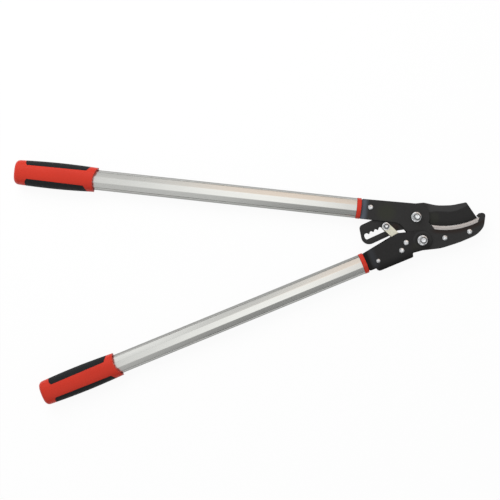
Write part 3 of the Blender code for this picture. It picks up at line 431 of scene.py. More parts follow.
def settle(item, node, smooth=35.0, rides=True, finish=None):
    """Shade a finished piece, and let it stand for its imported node, with that node's body and finish."""
    item.name = item.data.name = f"{node}_finished"
    alone(item)
    bpy.ops.object.shade_smooth_by_angle(angle=math.radians(smooth))
    body = frame["nodes"][node]["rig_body"]
    back = BODY_FRAMES[body].inverted()
    local = item.data.attributes.new("local", "FLOAT_VECTOR", "POINT")
    for spot, vert in zip(local.data, item.data.vertices):
        spot.vector = back @ vert.co
    if not item.data.materials:
        item.data.materials.append(finished(finish or SLOTS[node]))
    if rides:
        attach(item, body)
    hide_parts(node)


# Shader graphs


class Wire:
    """An output in a shader graph: a sum on it adds the Math node for that sum."""

    def __init__(self, graph, socket):
        self.graph = graph
        self.socket = socket

    def math(self, operation, *values):
        return self.graph.node("ShaderNodeMath", {"operation": operation}, dict(enumerate(values)))

    def __add__(self, other):
        return self.math("ADD", self, other)

    def __sub__(self, other):
        return self.math("SUBTRACT", self, other)

    def __rsub__(self, other):
        return self.math("SUBTRACT", other, self)

    def __mul__(self, other):
        return self.math("MULTIPLY", self, other)

    def __abs__(self):
        return self.math("ABSOLUTE", self)

    __radd__ = __add__
    __rmul__ = __mul__


class Graph:
    """A shader graph: one method adds any node, with its settings first and then what feeds its sockets."""

    def __init__(self, tree):
        self.tree = tree

    def node(self, kind, settings=None, inputs=None, output=0):
        made = self.tree.nodes.new(kind)
        for name, value in (settings or {}).items():
            setattr(made, name, value)
        for name, value in (inputs or {}).items():
            self.feed(made.inputs[name], value)
        return Wire(self, made.outputs[output]) if made.outputs else None

    def feed(self, socket, value):
        if isinstance(value, Wire):
            self.tree.links.new(value.socket, socket)
        else:
            socket.default_value = value

    def local(self, stretch=(1.0, 1.0, 1.0)):
        """Place on the piece in its body's own frame, stretched along each axis."""
        place = self.node("ShaderNodeAttribute", {"attribute_name": "local"}, output="Vector")
        return self.node("ShaderNodeVectorMath", {"operation": "MULTIPLY"}, {0: place, 1: stretch})

    def parts(self, vector):
        """The three numbers of a vector."""
        split = self.node("ShaderNodeSeparateXYZ", inputs={0: vector}).socket.node
        return [Wire(self, output) for output in split.outputs]

    def spot(self, middle, radius, inner=0.3):
        """Soft round mask in the sheet's plane: 1 at its middle and 0 at its radius."""
        away = self.distance(middle)
        return self.ramp(away, inner * radius, radius, 1.0, 0.0)

    def distance(self, middle):
        """Distance from an upright axis."""
        ends = {0: self.local((1.0, 1.0, 0.0)), 1: (*middle, 0.0)}
        return self.node("ShaderNodeVectorMath", {"operation": "DISTANCE"}, ends, output="Value")

    def strip(self, value, low, peak, high):
        """Soft mask along a strip: it rises from 0 to 1 at the peak and falls again."""
        return self.ramp(value, low, peak) * self.ramp(value, peak, high, 1.0, 0.0)

    def noise(self, place, scale, detail=2.0, roughness=0.5):
        values = {"Vector": place, "Scale": scale, "Detail": detail, "Roughness": roughness}
        return self.node("ShaderNodeTexNoise", inputs=values)

    def ramp(self, value, low, high, to_low=0.0, to_high=1.0):
        """A value that runs smoothly from one number to another between two limits."""
        ends = {"Value": value, "From Min": low, "From Max": high, "To Min": to_low, "To Max": to_high}
        return self.node("ShaderNodeMapRange", {"interpolation_type": "SMOOTHSTEP"}, ends)

    def blend(self, share, first, second, kind="MIX"):
        """Mix of two colours."""
        settings = {"data_type": "RGBA", "blend_type": kind}
        return self.node("ShaderNodeMix", settings, {0: share, 6: first, 7: second}, output=2)

    def between(self, share, shade, low, high):
        """A colour that runs from one tint of itself to another."""
        return self.blend(share, tinted(shade, low), tinted(shade, high))

    def bump(self, height, distance, strength=1.0):
        values = {"Height": height, "Distance": distance, "Strength": strength}
        return self.node("ShaderNodeBump", inputs=values)


class Finish(Graph):
    """A material's graph round its Principled shader, whose own sockets hold what is the same all over."""

    def __init__(self, name, constants):
        self.material = bpy.data.materials.new(f"{name}_finish")
        self.material.use_nodes = True
        super().__init__(self.material.node_tree)
        self.shader = self.tree.nodes["Principled BSDF"]
        self.set(constants)

    def set(self, values):
        for name, value in values.items():
            self.feed(self.shader.inputs[name], value)

    def done(self, base, grain, rough, bump=None, limits=(0.3, 0.7)):
        """The material, with a base colour, a roughness that follows a grain between limits, and a bump."""
        self.set({"Base Color": base, "Roughness": self.ramp(grain, *limits, *rough)})
        if bump:
            self.set({"Normal": self.bump(*bump)})
        return self.material


def tinted(shade, share=1.0):
    """A colour made lighter or darker by a share."""
    return (*(min(1.0, value * share) for value in shade), 1.0)


def black_coat(name, tint, shine=0.35):
    """Matt black coat with a fine orange peel, whose tone a tint function changes in places."""
    finish = Finish(name, {"Specular IOR Level": shine})
    place = finish.local()
    peel = finish.noise(place, 1900.0, 2.0)
    cloud = finish.noise(place, 210.0, 3.0)
    coat = tint(finish, finish.between(cloud, colours().paint, 0.82, 1.22))
    return finish.done(coat, peel, (0.52, 0.66), (peel, 0.00003, 0.5))


def jaw_steel():
    """Coat of the jaw plates: olive on the tang, brown below the anvil, and a bluish painted highlight on the
    pressed step.
    """
    def tint(finish, coat):
        along = finish.parts(finish.local())[0]
        beyond = finish.distance(CUT_CENTRE) - (ANVIL_RADIUS + ANVIL_HEIGHT)
        below_anvil = finish.strip(beyond, -0.0010, 0.0016, 0.0090) * finish.ramp(along, 0.020, 0.036)
        coat = finish.blend(finish.spot((-0.0485, 0.0022), 0.0210), coat, tinted(colours().paint_olive))
        coat = finish.blend(below_anvil, coat, tinted(colours().paint_brown))
        # Painted highlight: a bluish strip across the pressed step of the tang.
        step = finish.strip(along, -0.0925, -0.0848, -0.0755)
        return finish.blend(step, coat, tinted(colours().paint_blue))

    return black_coat("jaw_steel", tint)


def blade_steel():
    """Coat of the blade: painted shade on the grind, a painted highlight on the spine, olive at the grind's
    heel, brown on the tail.
    """
    def tint(finish, coat):
        along, _, up = finish.parts(finish.local())
        # Painted shade: the hollow-ground faces take a darker tint of the coat than the flat faces.
        flat_face = finish.ramp(abs(up), 0.00200, 0.00222)
        coat = finish.blend(flat_face, tinted(colours().paint, 0.62), coat)
        # Painted highlight: a lighter tint along the flat spine, beyond the hub.
        coat = finish.blend(flat_face * finish.ramp(along, 0.014, 0.024), coat, tinted(colours().paint_worn))
        coat = finish.blend(finish.spot((0.0288, 0.0017), 0.0130) * 0.6, coat, tinted(colours().paint_olive))
        return finish.blend(finish.spot((-0.0309, -0.0193), 0.0090), coat, tinted(colours().paint_brown))

    return black_coat("blade_steel", tint)


def bracket_steel():
    """Coat of the bracket: a painted highlight round the hub and a bluish one on the step, painted shade
    behind and towards the fold.
    """
    def tint(finish, coat):
        along, across, _ = finish.parts(finish.local())
        olive = finish.spot((-0.0130, -0.0054), 0.0110) * 0.5
        hub = finish.strip(finish.distance((0.0, 0.0)), 0.0105, 0.0132, 0.0156)
        # Painted highlight: a lighter ring round the hub, stronger on one side of it.
        hub_highlight = hub * finish.ramp(across, 0.0, 0.010, 0.3, 0.9)
        # Painted highlight: a faint bluish strip across the pressed step.
        step_highlight = finish.strip(along, -0.0895, -0.0840, -0.0740) * 0.16
        # Painted shade: darker towards the fold and behind the rear end.
        fold = finish.ramp(across, -0.0185, -0.0040, 1.0, 0.0)
        rear = finish.ramp(along, -0.0915, -0.0880, 1.0, 0.0)
        coat = finish.blend(olive, coat, tinted(colours().paint_olive))
        coat = finish.blend(hub_highlight, coat, tinted(colours().paint_worn))
        coat = finish.blend(step_highlight, coat, tinted(colours().paint_blue))
        return finish.blend(fold + rear, coat, tinted(colours().paint_deep))

    return black_coat("bracket_steel", tint, 0.22)


def red_plastic():
    """Moulded red plastic: satin, with a fine spark-eroded grain."""
    finish = Finish("red_plastic", {"IOR": 1.45, "Specular IOR Level": 0.30})
    place = finish.local()
    grain = finish.noise(place, 2600.0, 3.0)
    red = finish.between(finish.noise(place, 30.0, 1.0), colours().red, 0.94, 1.05)
    return finish.done(red, grain, (0.36, 0.48), (grain, 0.00002, 0.5))


def soft_black():
    """Soft moulded grip: matt, with small pebbles."""
    finish = Finish("soft_black", {"Specular IOR Level": 0.30})
    place = finish.local()
    grain = {"Vector": place, "Scale": 1100.0}
    pebbles = finish.node("ShaderNodeTexVoronoi", {"feature": "SMOOTH_F1"}, grain)
    dust = finish.noise(place, 160.0, 3.0)
    black = finish.between(dust, colours().pad, 0.8, 1.35)
    return finish.done(black, dust, (0.62, 0.78), (pebbles, 0.00008, 0.6))


def tube_aluminium():
    """Satin anodised tube with painted shade on its sides, and the faint lines that the drawing die leaves
    along it.
    """
    finish = Finish("tube_aluminium", {"Metallic": 1.0})
    lines = finish.noise(finish.local((9.0, 1500.0, 1500.0)), 1.0, 3.0, 0.6)
    cloud = finish.noise(finish.local(), 45.0, 2.0)
    up = finish.parts(finish.local())[2]
    # Painted shade: the side facets take a much darker tint of the metal than the top and shoulders.
    shoulder = finish.ramp(abs(up), 0.0050, 0.0078)
    shade = colours().aluminium
    metal = finish.between(lines * 0.6 + cloud * 0.4, shade, 0.93, 1.04)
    metal = finish.blend(shoulder, tinted(shade, 0.46), metal)
    return finish.done(metal, lines, (0.24, 0.34), (lines, 0.00001, 0.35))


def anvil_metal():
    """Bare anvil, brushed along its arc and stained in places."""
    finish = Finish("anvil_metal", {"Metallic": 0.9})
    place = finish.local()
    lines = finish.distance(CUT_CENTRE) * 2400.0
    wander = finish.noise(place, 60.0) * 2.0
    strokes = finish.noise(finish.node("ShaderNodeCombineXYZ", inputs={0: lines, 1: wander}), 1.0, 3.0, 0.6)
    stain = finish.ramp(finish.noise(place, 170.0, 3.0), 0.55, 0.80)
    shade = colours().anvil
    metal = finish.blend(stain, finish.between(strokes, shade, 0.90, 1.06), tinted(shade, 0.80))
    return finish.done(metal, strokes, (0.38, 0.52), (strokes, 0.00001, 0.5))


def bright_steel():
    """Bright plate on fasteners, with painted reflections in light and dark mottled patches, faint pits and a
    little haze.
    """
    finish = Finish("bright_steel", {"Metallic": 1.0})
    place = finish.local()
    haze = finish.noise(place, 420.0, 3.0)
    # Painted reflection: mottled patches, lighter and darker than the plate.
    mottled_reflection = finish.ramp(finish.noise(place, 560.0, 2.0), 0.46, 0.62)
    pits = finish.ramp(finish.noise(place, 1500.0, 2.0), 0.62, 0.74)
    shade = colours().bright
    plate = finish.blend(pits * 0.6, finish.between(mottled_reflection, shade, 1.18, 0.56), tinted(shade, 0.45))
    return finish.done(plate, haze, (0.12, 0.26), (pits, -0.00002, 0.5), limits=(0.35, 0.65))


def zinc():
    """Pale zinc plate with a faint cloud of crystals."""
    finish = Finish("zinc", {"Metallic": 0.9})
    place = finish.local()
    grain = {"Vector": place, "Scale": 700.0}
    crystals = finish.node("ShaderNodeTexVoronoi", {"feature": "F1"}, grain, output="Color")
    cloud = finish.noise(place, 260.0, 3.0)
    plate = finish.blend(0.10, finish.between(cloud, colours().zinc, 0.92, 1.05), crystals, "SOFT_LIGHT")
    return finish.done(plate, cloud, (0.38, 0.52), (cloud, 0.00001, 0.4))


def spring_steel():
    """Drawn spring wire with a thin film of oil."""
    finish = Finish("spring_steel", {"Metallic": 1.0})
    cloud = finish.noise(finish.local(), 900.0, 2.0)
    return finish.done(finish.between(cloud, colours().wire, 0.8, 1.15), cloud, (0.24, 0.38))


def nylon():
    """Locking ring of a nut."""
    finish = Finish("nylon", {"Specular IOR Level": 0.4})
    cloud = finish.noise(finish.local(), 1500.0, 2.0)
    return finish.done(finish.between(cloud, colours().nylon, 0.85, 1.15), cloud, (0.45, 0.60))


FINISHES = {
    make.__name__: make
    for make in (
        jaw_steel, blade_steel, bracket_steel, red_plastic, soft_black, tube_aluminium, anvil_metal,
        bright_steel, zinc, spring_steel, nylon,
    )
}


def finished(name):
    """The material of a finish, made the first time that it is asked for."""
    return bpy.data.materials.get(f"{name}_finish") or FINISHES[name]()


# Sheet metal of the head


def rounded_copy(node, finish=None):
    """A copied sheet whose chamfers are shaded as round edges."""
    item = copied(node)
    alone(item)
    bpy.ops.object.shade_smooth()
    settle(item, node, smooth=60.0, finish=finish)
    modify(item, "WEIGHTED_NORMAL", weight=90, keep_sharp=True)
    return item


class LOPPER_OT_jaw_plates(bpy.types.Operator):
    """Two pressed jaw plates, each with its tang"""

    bl_idname = "lopper.jaw_plates"
    bl_label = "Jaw plates"

    def execute(self, context):
        for node in ("front_jaw_plate", "back_jaw_plate"):
            rounded_copy(node, "jaw_steel")
        return {"FINISHED"}


class LOPPER_OT_blade(bpy.types.Operator):
    """Blade, hollow ground on both faces, with its notched tail"""

    bl_idname = "lopper.blade"
    bl_label = "Blade"

    def execute(self, context):
        item = copied("blade")
        soften(item, sizes().edge_round * 0.7, 2, 50.0)
        settle(item, "blade", smooth=28.0, finish="blade_steel")
        return {"FINISHED"}


class LOPPER_OT_bracket(bpy.types.Operator):
    """Folded bracket of the lower handle"""

    bl_idname = "lopper.bracket"
    bl_label = "Lower bracket"

    def execute(self, context):
        rounded_copy("lower_bracket", "bracket_steel")
        return {"FINISHED"}


class LOPPER_OT_links(bpy.types.Operator):
    """Pair of ratchet links"""

    bl_idname = "lopper.links"
    bl_label = "Ratchet links"

    def execute(self, context):
        for node in ("front_link", "back_link"):
            rounded_copy(node)
        return {"FINISHED"}


class LOPPER_OT_anvil(bpy.types.Operator):
    """Anvil with a fine groove along each side"""

    bl_idname = "lopper.anvil"
    bl_label = "Anvil"

    def execute(self, context):
        item = copied("anvil")
        soften(item, sizes().edge_round, 2, 50.0)
        low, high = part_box("anvil")
        centre = BODY_FRAMES["jaw_frame"] @ Vector((*CUT_CENTRE, 0.0))
        for height in (low.z, high.z):
            bpy.ops.mesh.primitive_torus_add(
                major_radius=ANVIL_RADIUS + ANVIL_HEIGHT / 2,
                minor_radius=sizes().anvil_groove / 2,
                major_segments=512,
                minor_segments=12,
                location=(centre.x, centre.y, height),
            )
            join(item, bpy.context.object, "DIFFERENCE")
        settle(item, "anvil", smooth=40.0)
        return {"FINISHED"}


# Fasteners


def axis_of(node):
    """Upright frame on the axis of a turned piece, turned as the body that carries it."""
    body = BODY_FRAMES[frame["nodes"][node]["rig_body"]]
    low, high = extent(node, body)
    return body @ Matrix.Translation(((low.x + high.x) / 2, (low.y + high.y) / 2, 0.0))


def dome(seat, radius, height, steps=10):
    """Heights and radii of a domed head, from its seat to its crown."""
    rim = 0.25 * height
    rings = [(seat, radius)]
    for i in range(steps):
        angle = math.pi / 2 * i / (steps - 0.5)
        rings.append((seat + rim + (height - rim) * math.sin(angle), radius * math.cos(angle)))
    return rings


def fitted(node, make, *values):
    """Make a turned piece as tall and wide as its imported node, from its foot up, and stand it there."""
    place = axis_of(node)
    low, high = extent(node, place)
    item = repeated(make, high.z - low.z, high.x, *values)
    lay(item, place @ Matrix.Translation((0.0, 0.0, low.z)))
    settle(item, node)


def make_rivet(tall, radius, shank, head):
    """Rivet with a domed head at both ends."""
    top = [(tall - head, shank), *dome(tall - head, radius, head)]
    return turned("rivet", [(tall - z, r) for z, r in reversed(top)] + top, 48)


class LOPPER_OT_rivets(bpy.types.Operator):
    """Rivets of the anvil, the tangs, the link and the spring"""

    bl_idname = "lopper.rivets"
    bl_label = "Rivets"

    def execute(self, context):
        for node in frame["nodes"]:
            if "_rivet" in node:
                fitted(node, make_rivet, sizes().rivet_shank / 2, sizes().rivet_head)
        return {"FINISHED"}


def hexagon(name, flats, low, high):
    """A hexagon whose corners are turned down at both ends."""
    corner = flats / math.sqrt(3.0)
    beyond = corner * 1.03
    face = flats * 0.475
    drop = (beyond - face) * math.tan(math.radians(30.0))
    item = drawn(name, 6, [(low - drop, corner), (high + drop, corner)])
    turn = turned("turn", [(low, face), (low + drop, beyond), (high - drop, beyond), (high, face)], 96)
    join(item, turn, "INTERSECT")
    return item


def threaded(name, radius, pitch, low, high):
    """A threaded shank: a ridge run up round a core, trimmed flat and chamfered at its upper end."""
    core = radius - 0.6 * pitch
    inside, outside = core * 0.98, radius * 1.02
    half = 0.44 * pitch
    start = low - pitch
    corners = ((inside, 0.0, start - half), (radius, 0.0, start), (inside, 0.0, start + half))
    ridge = loop("ridge", corners)
    turns = math.ceil((high - low) / pitch) + 2
    modify(ridge, "SCREW", axis="Z", screw_offset=pitch, iterations=turns, steps=32, render_steps=32)
    with editing(ridge):
        bpy.ops.mesh.fill_holes(sides=3)
        face_outwards()
    item = turned(name, [(low - pitch, core), (high + pitch, core)], 48)
    join(item, ridge, "UNION")
    chamfer = radius * 0.16
    trim = turned("trim", [(low, outside), (high - chamfer, outside), (high, radius - chamfer)], 48)
    join(item, trim, "INTERSECT")
    return item


def make_bolt(tall, half, seat, diameter, head, pitch):
    """Hexagon bolt with its head at its foot, threaded from below the nut's seat to its end."""
    item = hexagon("bolt", 2 * half, 0.0, head)
    thick = diameter / 2 + SEAT
    join(item, turned("shank", [(head / 2, thick), (seat, thick)], 48), "UNION")
    join(item, threaded("thread", diameter / 2, pitch, seat - pitch, tall), "UNION")
    with editing(item):
        bpy.ops.mesh.dissolve_degenerate(threshold=WELD)
    return item


def make_nut(tall, half, diameter):
    """Lock nut: a hexagon, and a rolled collar that holds a nylon ring."""
    item = hexagon("nut", 2 * half, 0.0, 0.64 * tall)
    wide = 0.90 * half
    lip = 0.12 * tall
    sunk = 0.93 * tall
    outline = [(0.5 * tall, wide), (tall - 1.6 * lip, wide)]
    roll = [(1 - math.sin(angle), 1 - math.cos(angle)) for angle in (0.3, 0.7, 1.1, 1.5)]
    outline += [(tall - lip * down, wide - lip * inwards) for down, inwards in roll]
    outline += [(tall - 0.1 * lip, wide - lip), (sunk, wide - 1.05 * lip)]
    join(item, turned("collar", outline), "UNION")
    bored(item, diameter / 2 + FIT, -lip, tall + lip)
    item.data.materials.append(finished("bright_steel"))
    item.data.materials.append(finished("nylon"))
    for face in item.data.polygons:
        if abs(face.center.z - sunk) < WELD and face.normal.z > 0.9:
            face.material_index = 1
    return item


def make_ring(tall, radius, diameter, edge):
    """Washer or bush: turned, bored and softened."""
    item = turned("ring", [(0.0, radius), (tall, radius)], 96)
    bored(item, diameter / 2 + FIT, -edge, tall + edge)
    soften(item, edge, 3, 60.0)
    return item


def fasten(bolt, nut, *values):
    """Make a bolt that is threaded from below its nut's seat, and the nut."""
    place = axis_of(bolt)
    seat = extent(nut, place)[0].z - extent(bolt, place)[0].z
    fitted(bolt, make_bolt, seat, *values)
    fitted(nut, make_nut, values[0])


class LOPPER_OT_pivot_fasteners(bpy.types.Operator):
    """Bolts, washers and lock nuts of the two pivots, and the bush between the plates"""

    bl_idname = "lopper.pivot_fasteners"
    bl_label = "Pivot bolts, washers and nuts"

    def execute(self, context):
        size = sizes()
        for pivot in ("blade_pivot", "handle_pivot"):
            fasten(f"{pivot}_bolt", f"{pivot}_nut", size.pivot_bolt, size.pivot_head, size.pivot_pitch)
            for side in ("front", "back"):
                fitted(f"{pivot}_washer_{side}", make_ring, size.pivot_bolt, size.edge_round * 0.7)
        fitted("handle_pivot_spacer", make_ring, size.pivot_bolt, size.edge_round)
        return {"FINISHED"}


class LOPPER_OT_ratchet_pin(bpy.types.Operator):
    """Ratchet pin with its washer and lock nut"""

    bl_idname = "lopper.ratchet_pin"
    bl_label = "Ratchet pin, washer and nut"

    def execute(self, context):
        size = sizes()
        fasten("ratchet_pin", "ratchet_pin_nut", size.pin_bolt, size.pin_head, size.pin_pitch)
        fitted("ratchet_pin_washer", make_ring, size.pin_bolt, size.edge_round * 0.6)
        return {"FINISHED"}


def spring_path():
    """Corners of the spring's wire in the lower handle's frame.

    They are a leg to the spring anchor rivet, the coils round the link pivot, and a leg that turns up beside
    the link.
    """
    size = sizes()
    body = BODY_FRAMES["lower_handle"].inverted()
    pivot = body @ joint_place("link_hinge")
    anchor = body @ middle_of("spring_anchor_rivet") - pivot
    low, high = (corner.z for corner in extent("link_spring", BODY_FRAMES["lower_handle"]))
    low, wire = low + size.spring_wire / 2, size.spring_wire
    link = body @ BODY_FRAMES["ratchet_link"]
    link_turn = link.to_euler().z
    radius = size.rivet_shank / 2 + 1.5 * FIT + wire / 2
    to_anchor = math.atan2(anchor.y, anchor.x)
    hook = Vector((size.spring_hook, size.spring_hook_across))
    lean = link_turn + math.atan2(hook.y, hook.x) - math.asin(radius / hook.length)
    start = to_anchor - math.pi / 2
    sweep = (start - lean - math.pi / 2) % math.tau + size.spring_turns * math.tau

    def on_coil(share):
        angle = start - sweep * share
        return Vector((radius * math.cos(angle), radius * math.sin(angle), low * (1 - 2 * share)))

    leg = anchor.xy.length + size.spring_overrun
    first = on_coil(0.0) + Vector((math.cos(to_anchor), math.sin(to_anchor), 0.0)) * leg
    steps = math.ceil(sweep / math.tau * 36)
    coils = [on_coil(i / steps) for i in range(steps + 1)]
    reach = math.sqrt(hook.length_squared - radius**2)
    last = coils[-1] + Vector((math.cos(lean), math.sin(lean), 0.0)) * reach
    return [point + pivot for point in (first, *coils, last, Vector((last.x, last.y, high)))]


def wire_along(name, path, thickness):
    """Round wire along a path."""
    item = loop(name, path)
    closing = {0, len(path) - 1}
    with editing(item, "EDGE"):
        pick(item, "edges", lambda edge: {vert.index for vert in edge.verts} == closing)
        bpy.ops.mesh.delete(type="EDGE")
    alone(item)
    bpy.ops.object.convert(target="CURVE")
    curve = bpy.context.object
    curve.data.bevel_depth = thickness / 2
    curve.data.bevel_resolution = 4
    curve.data.use_fill_caps = True
    bpy.ops.object.convert(target="MESH")
    item = bpy.context.object
    with editing(item):
        bpy.ops.mesh.remove_doubles(threshold=WELD)
        face_outwards()
    return item


class LOPPER_OT_spring(bpy.types.Operator):
    """Torsion spring round the link pivot: it winds up between the lower handle and the link"""

    bl_idname = "lopper.spring"
    bl_label = "Link spring"

    def execute(self, context):
        item = wire_along("link_spring", spring_path(), sizes().spring_wire)
        lay(item, BODY_FRAMES["lower_handle"])
        settle(item, "link_spring", smooth=60.0, rides=False)
        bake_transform(item)
        return {"FINISHED"}


# Handles


def tube_corners(grow=0.0):
    """Corners of the tube's outline with their fillets: three flats on each face, and rounded sides."""
    high = extent("upper_tube", HANDLES["upper"])[1]
    wide, deep = high.y + grow, high.z + grow
    side, ridge = sizes().tube_side_round + grow, sizes().tube_ridge_round + grow
    quarter = [
        (wide, deep * 0.14, side),
        (wide - sizes().tube_shoulder, deep * 0.66, side),
        (sizes().tube_flat, deep, ridge),
    ]
    corners = quarter + [(-x, y, r) for x, y, r in reversed(quarter)]
    return corners + [(-x, -y, r) for x, y, r in quarter] + [(x, -y, r) for x, y, r in reversed(quarter)]


def make_tube(rear, front):
    """Drawn tube, upright, with its two ends softened."""
    item = prism("tube", tube_corners(), rear, front, filled=False, segments=8)
    modify(item, "SOLIDIFY", thickness=sizes().tube_wall, offset=-1.0, use_even_offset=True)
    soften(item, sizes().edge_round * 0.5, 2, 60.0)
    return item


class LOPPER_OT_tubes(bpy.types.Operator):
    """Drawn aluminium tubes of both handles"""

    bl_idname = "lopper.tubes"
    bl_label = "Handle tubes"

    def execute(self, context):
        rear, front = (corner.x for corner in extent("upper_tube", HANDLES["upper"]))
        for end, place in HANDLES.items():
            item = repeated(make_tube, rear, front)
            with editing(item, "VERT"):
                pick(item, "verts", lambda vert: vert.co.z < rear / 2)
                bpy.ops.transform.translate(value=(0.0, 0.0, extent(f"{end}_tube", place)[0].x - rear))
            lay(item, place @ LAY)
            settle(item, f"{end}_tube")
        return {"FINISHED"}


class LOPPER_OT_tang_cores(bpy.types.Operator):
    """Flat bars that carry the load from the head into the tubes"""

    bl_idname = "lopper.tang_cores"
    bl_label = "Tang cores"

    def execute(self, context):
        for end in HANDLES:
            item = copied(f"{end}_tang_core")
            soften(item, sizes().edge_round, 2, 50.0)
            settle(item, f"{end}_tang_core")
        return {"FINISHED"}


def make_collar(front):
    """Ring that stands proud of a tube's end, with its plug, upright."""
    item = prism("collar", tube_corners(sizes().collar_proud), FIT, front, segments=6)
    soften(item, sizes().collar_round, 4, 60.0)
    inside = tube_corners(-sizes().tube_wall - FIT)
    join(item, prism("plug", inside, -sizes().plug_length, front / 2, segments=4), "UNION")
    return item


class LOPPER_OT_collars(bpy.types.Operator):
    """Red collars that close the tubes' front ends"""

    bl_idname = "lopper.collars"
    bl_label = "Collars"

    def execute(self, context):
        for end, place in HANDLES.items():
            node = f"{end}_collar"
            front = extent(node, place)[1].x
            item = repeated(make_collar, front)
            core = extent(f"{end}_tang_core", place)[1]
            wide, deep = core.y + FIT, core.z + FIT
            slot = [(x, y, 0.0) for x, y in ((wide, deep), (-wide, deep), (-wide, -deep), (wide, -deep))]
            join(item, prism("slot", slot, -2 * sizes().plug_length, 2 * front), "DIFFERENCE")
            lay(item, place @ LAY)
            settle(item, node)
        return {"FINISHED"}


def grip_rings(rear, inset):
    """Rings of the upper grip's barrel, from its rounded rear end, which leans inwards, to its mouth."""
    size = sizes()
    whole, rounding = size.grip_length, size.grip_end_round
    deep = -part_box("upper_grip")[0].z + HANDLES["upper"].translation.z
    places = [rounding * (1 - math.cos(math.radians(angle))) for angle in range(0, 90, 10)]
    mouth = whole - size.grip_mouth_scoop - 4 * size.grip_mouth_round
    places += [rounding + (mouth - rounding) * i / 30 for i in range(31)]
    places.append(whole)
    rings = []
    for place in places:
        swell = math.sin(math.pi * place / whole)
        wide = (size.grip_end_width + (size.grip_middle_width - size.grip_end_width) * swell) / 2
        tall = deep * (0.93 + 0.07 * swell)
        lost = rounding - math.sqrt(rounding**2 - max(rounding - place, 0.0) ** 2)
        lean = -size.grip_lean * (1 - place / whole)
        rings.append((rear + place, wide - lost - inset, tall - lost - inset, lean))
    return rings


def grip_barrel(rear, inset):
    item = drawn("barrel", 112, grip_rings(rear, inset), squareness=2.3)
    lay(item, LAY)
    return item


def on_cut(vert, middle, radius):
    """Whether a corner lies on the wall that a round cutter left."""
    return abs((vert.co.xy - middle).length - radius) < 2 * FIT


def on_rim(edge, middle, radius):
    """Whether an edge of the cut wall lies on the outside of the grip."""
    start = edge.verts[0].co

    def is_wall(face):
        """Whether a face is upright and looks at the cutter's axis."""
        return abs(face.normal.z) < 0.02 and face.normal.xy.dot(middle - start.xy) > 0.9 * radius

    wall = any(is_wall(face) for face in edge.link_faces)
    outside = any(face.normal.yz.dot(start.yz) > 0 for face in edge.link_faces if not is_wall(face))
    return wall and outside and all(on_cut(vert, middle, radius) for vert in edge.verts)


def pad_tool(rear, side, grow=0.0):
    """Upright prism that bounds a pad: a strip along one side of the grip, slanted at both ends."""
    size = sizes()
    outer, inner = (size.pad_rear_outer, size.pad_front_outer), (size.pad_rear_inner, size.pad_front_inner)
    back, front = outer if side > 0 else inner
    back, tip = rear + back - grow, rear + front + grow
    beyond = size.grip_middle_width
    corners = [
        (back + size.pad_rear_slant, size.pad_rear_edge - grow, 0.0016),
        (tip - size.pad_slant, size.pad_front_edge - grow, 0.0020),
        (tip, size.pad_front_edge - grow + size.pad_slant * 1.4, 0.0020),
        (tip, beyond, 0.0),
        (back, beyond, 0.0),
        (back, size.pad_rear_edge - grow + size.pad_rear_slant * 1.6, 0.0016),
    ]
    corners = [(x, side * y, radius) for x, y, radius in corners]
    if side < 0:
        corners.reverse()
    return prism("pad", corners, -beyond, beyond, segments=8)


def make_pad(rear, side):
    """Soft pad of the upper grip: the outer one on side 1 and the inner one on side -1."""
    item = repeated(grip_barrel, rear, 0.0)
    join(item, pad_tool(rear, side), "INTERSECT")
    join(item, repeated(grip_barrel, rear, sizes().pad_depth), "DIFFERENCE")
    return item


def make_grip(rear, tube_rear):
    """Red shell of the upper grip: a barrel with a scooped mouth, a bore and two recesses for pads."""
    size = sizes()
    item = repeated(grip_barrel, rear, 0.0)
    radius = size.grip_mouth_radius
    middle = Vector((rear + size.grip_length - size.grip_mouth_scoop + radius, -size.grip_mouth_offset))
    beyond = 0.04
    mouth = turned("mouth", [(-beyond, radius), (beyond, radius)])
    lay(mouth, Matrix.Translation((*middle, 0.0)))
    join(item, mouth, "DIFFERENCE")
    with editing(item, "VERT"):
        pick(item, "verts", lambda vert: on_cut(vert, middle, radius))
        bpy.ops.mesh.remove_doubles(threshold=MOUTH_WELD)
    bore = prism("bore", tube_corners(SEAT), tube_rear - FIT, rear + 2 * size.grip_length, segments=8)
    lay(bore, LAY)
    join(item, bore, "DIFFERENCE")
    for side in (1, -1):
        recess = pad_tool(rear, side, FIT / 2)
        join(recess, repeated(grip_barrel, rear, size.pad_depth + FIT), "DIFFERENCE")
        join(item, recess, "DIFFERENCE")
    with editing(item, "EDGE"):
        pick(item, "edges", lambda edge: on_rim(edge, middle, radius))
        bpy.ops.mesh.bevel(offset=size.grip_mouth_round, segments=4, affect="EDGES", clamp_overlap=True)
    return item


class LOPPER_OT_grips(bpy.types.Operator):
    """Red grips with a scooped mouth, and soft pads in their sides: the lower grip is a mirrored copy"""

    bl_idname = "lopper.grips"
    bl_label = "Grips and pads"

    def execute(self, context):
        rear = extent("upper_grip", HANDLES["upper"])[0].x
        tube_rear = extent("upper_tube", HANDLES["upper"])[0].x
        for end, place in HANDLES.items():
            along = Matrix.Translation((extent(f"{end}_grip", place)[0].x - rear, 0.0, 0.0))
            flip = Matrix.Scale(1.0 if end == "upper" else -1.0, 4, (0.0, 1.0, 0.0))
            pieces = {
                f"{end}_grip": repeated(make_grip, rear, tube_rear),
                f"{end}_grip_pad_outer": repeated(make_pad, rear, 1),
                f"{end}_grip_pad_inner": repeated(make_pad, rear, -1),
            }
            for node, item in pieces.items():
                lay(item, place @ along @ flip)
                settle(item, node)
        return {"FINISHED"}


# Studio

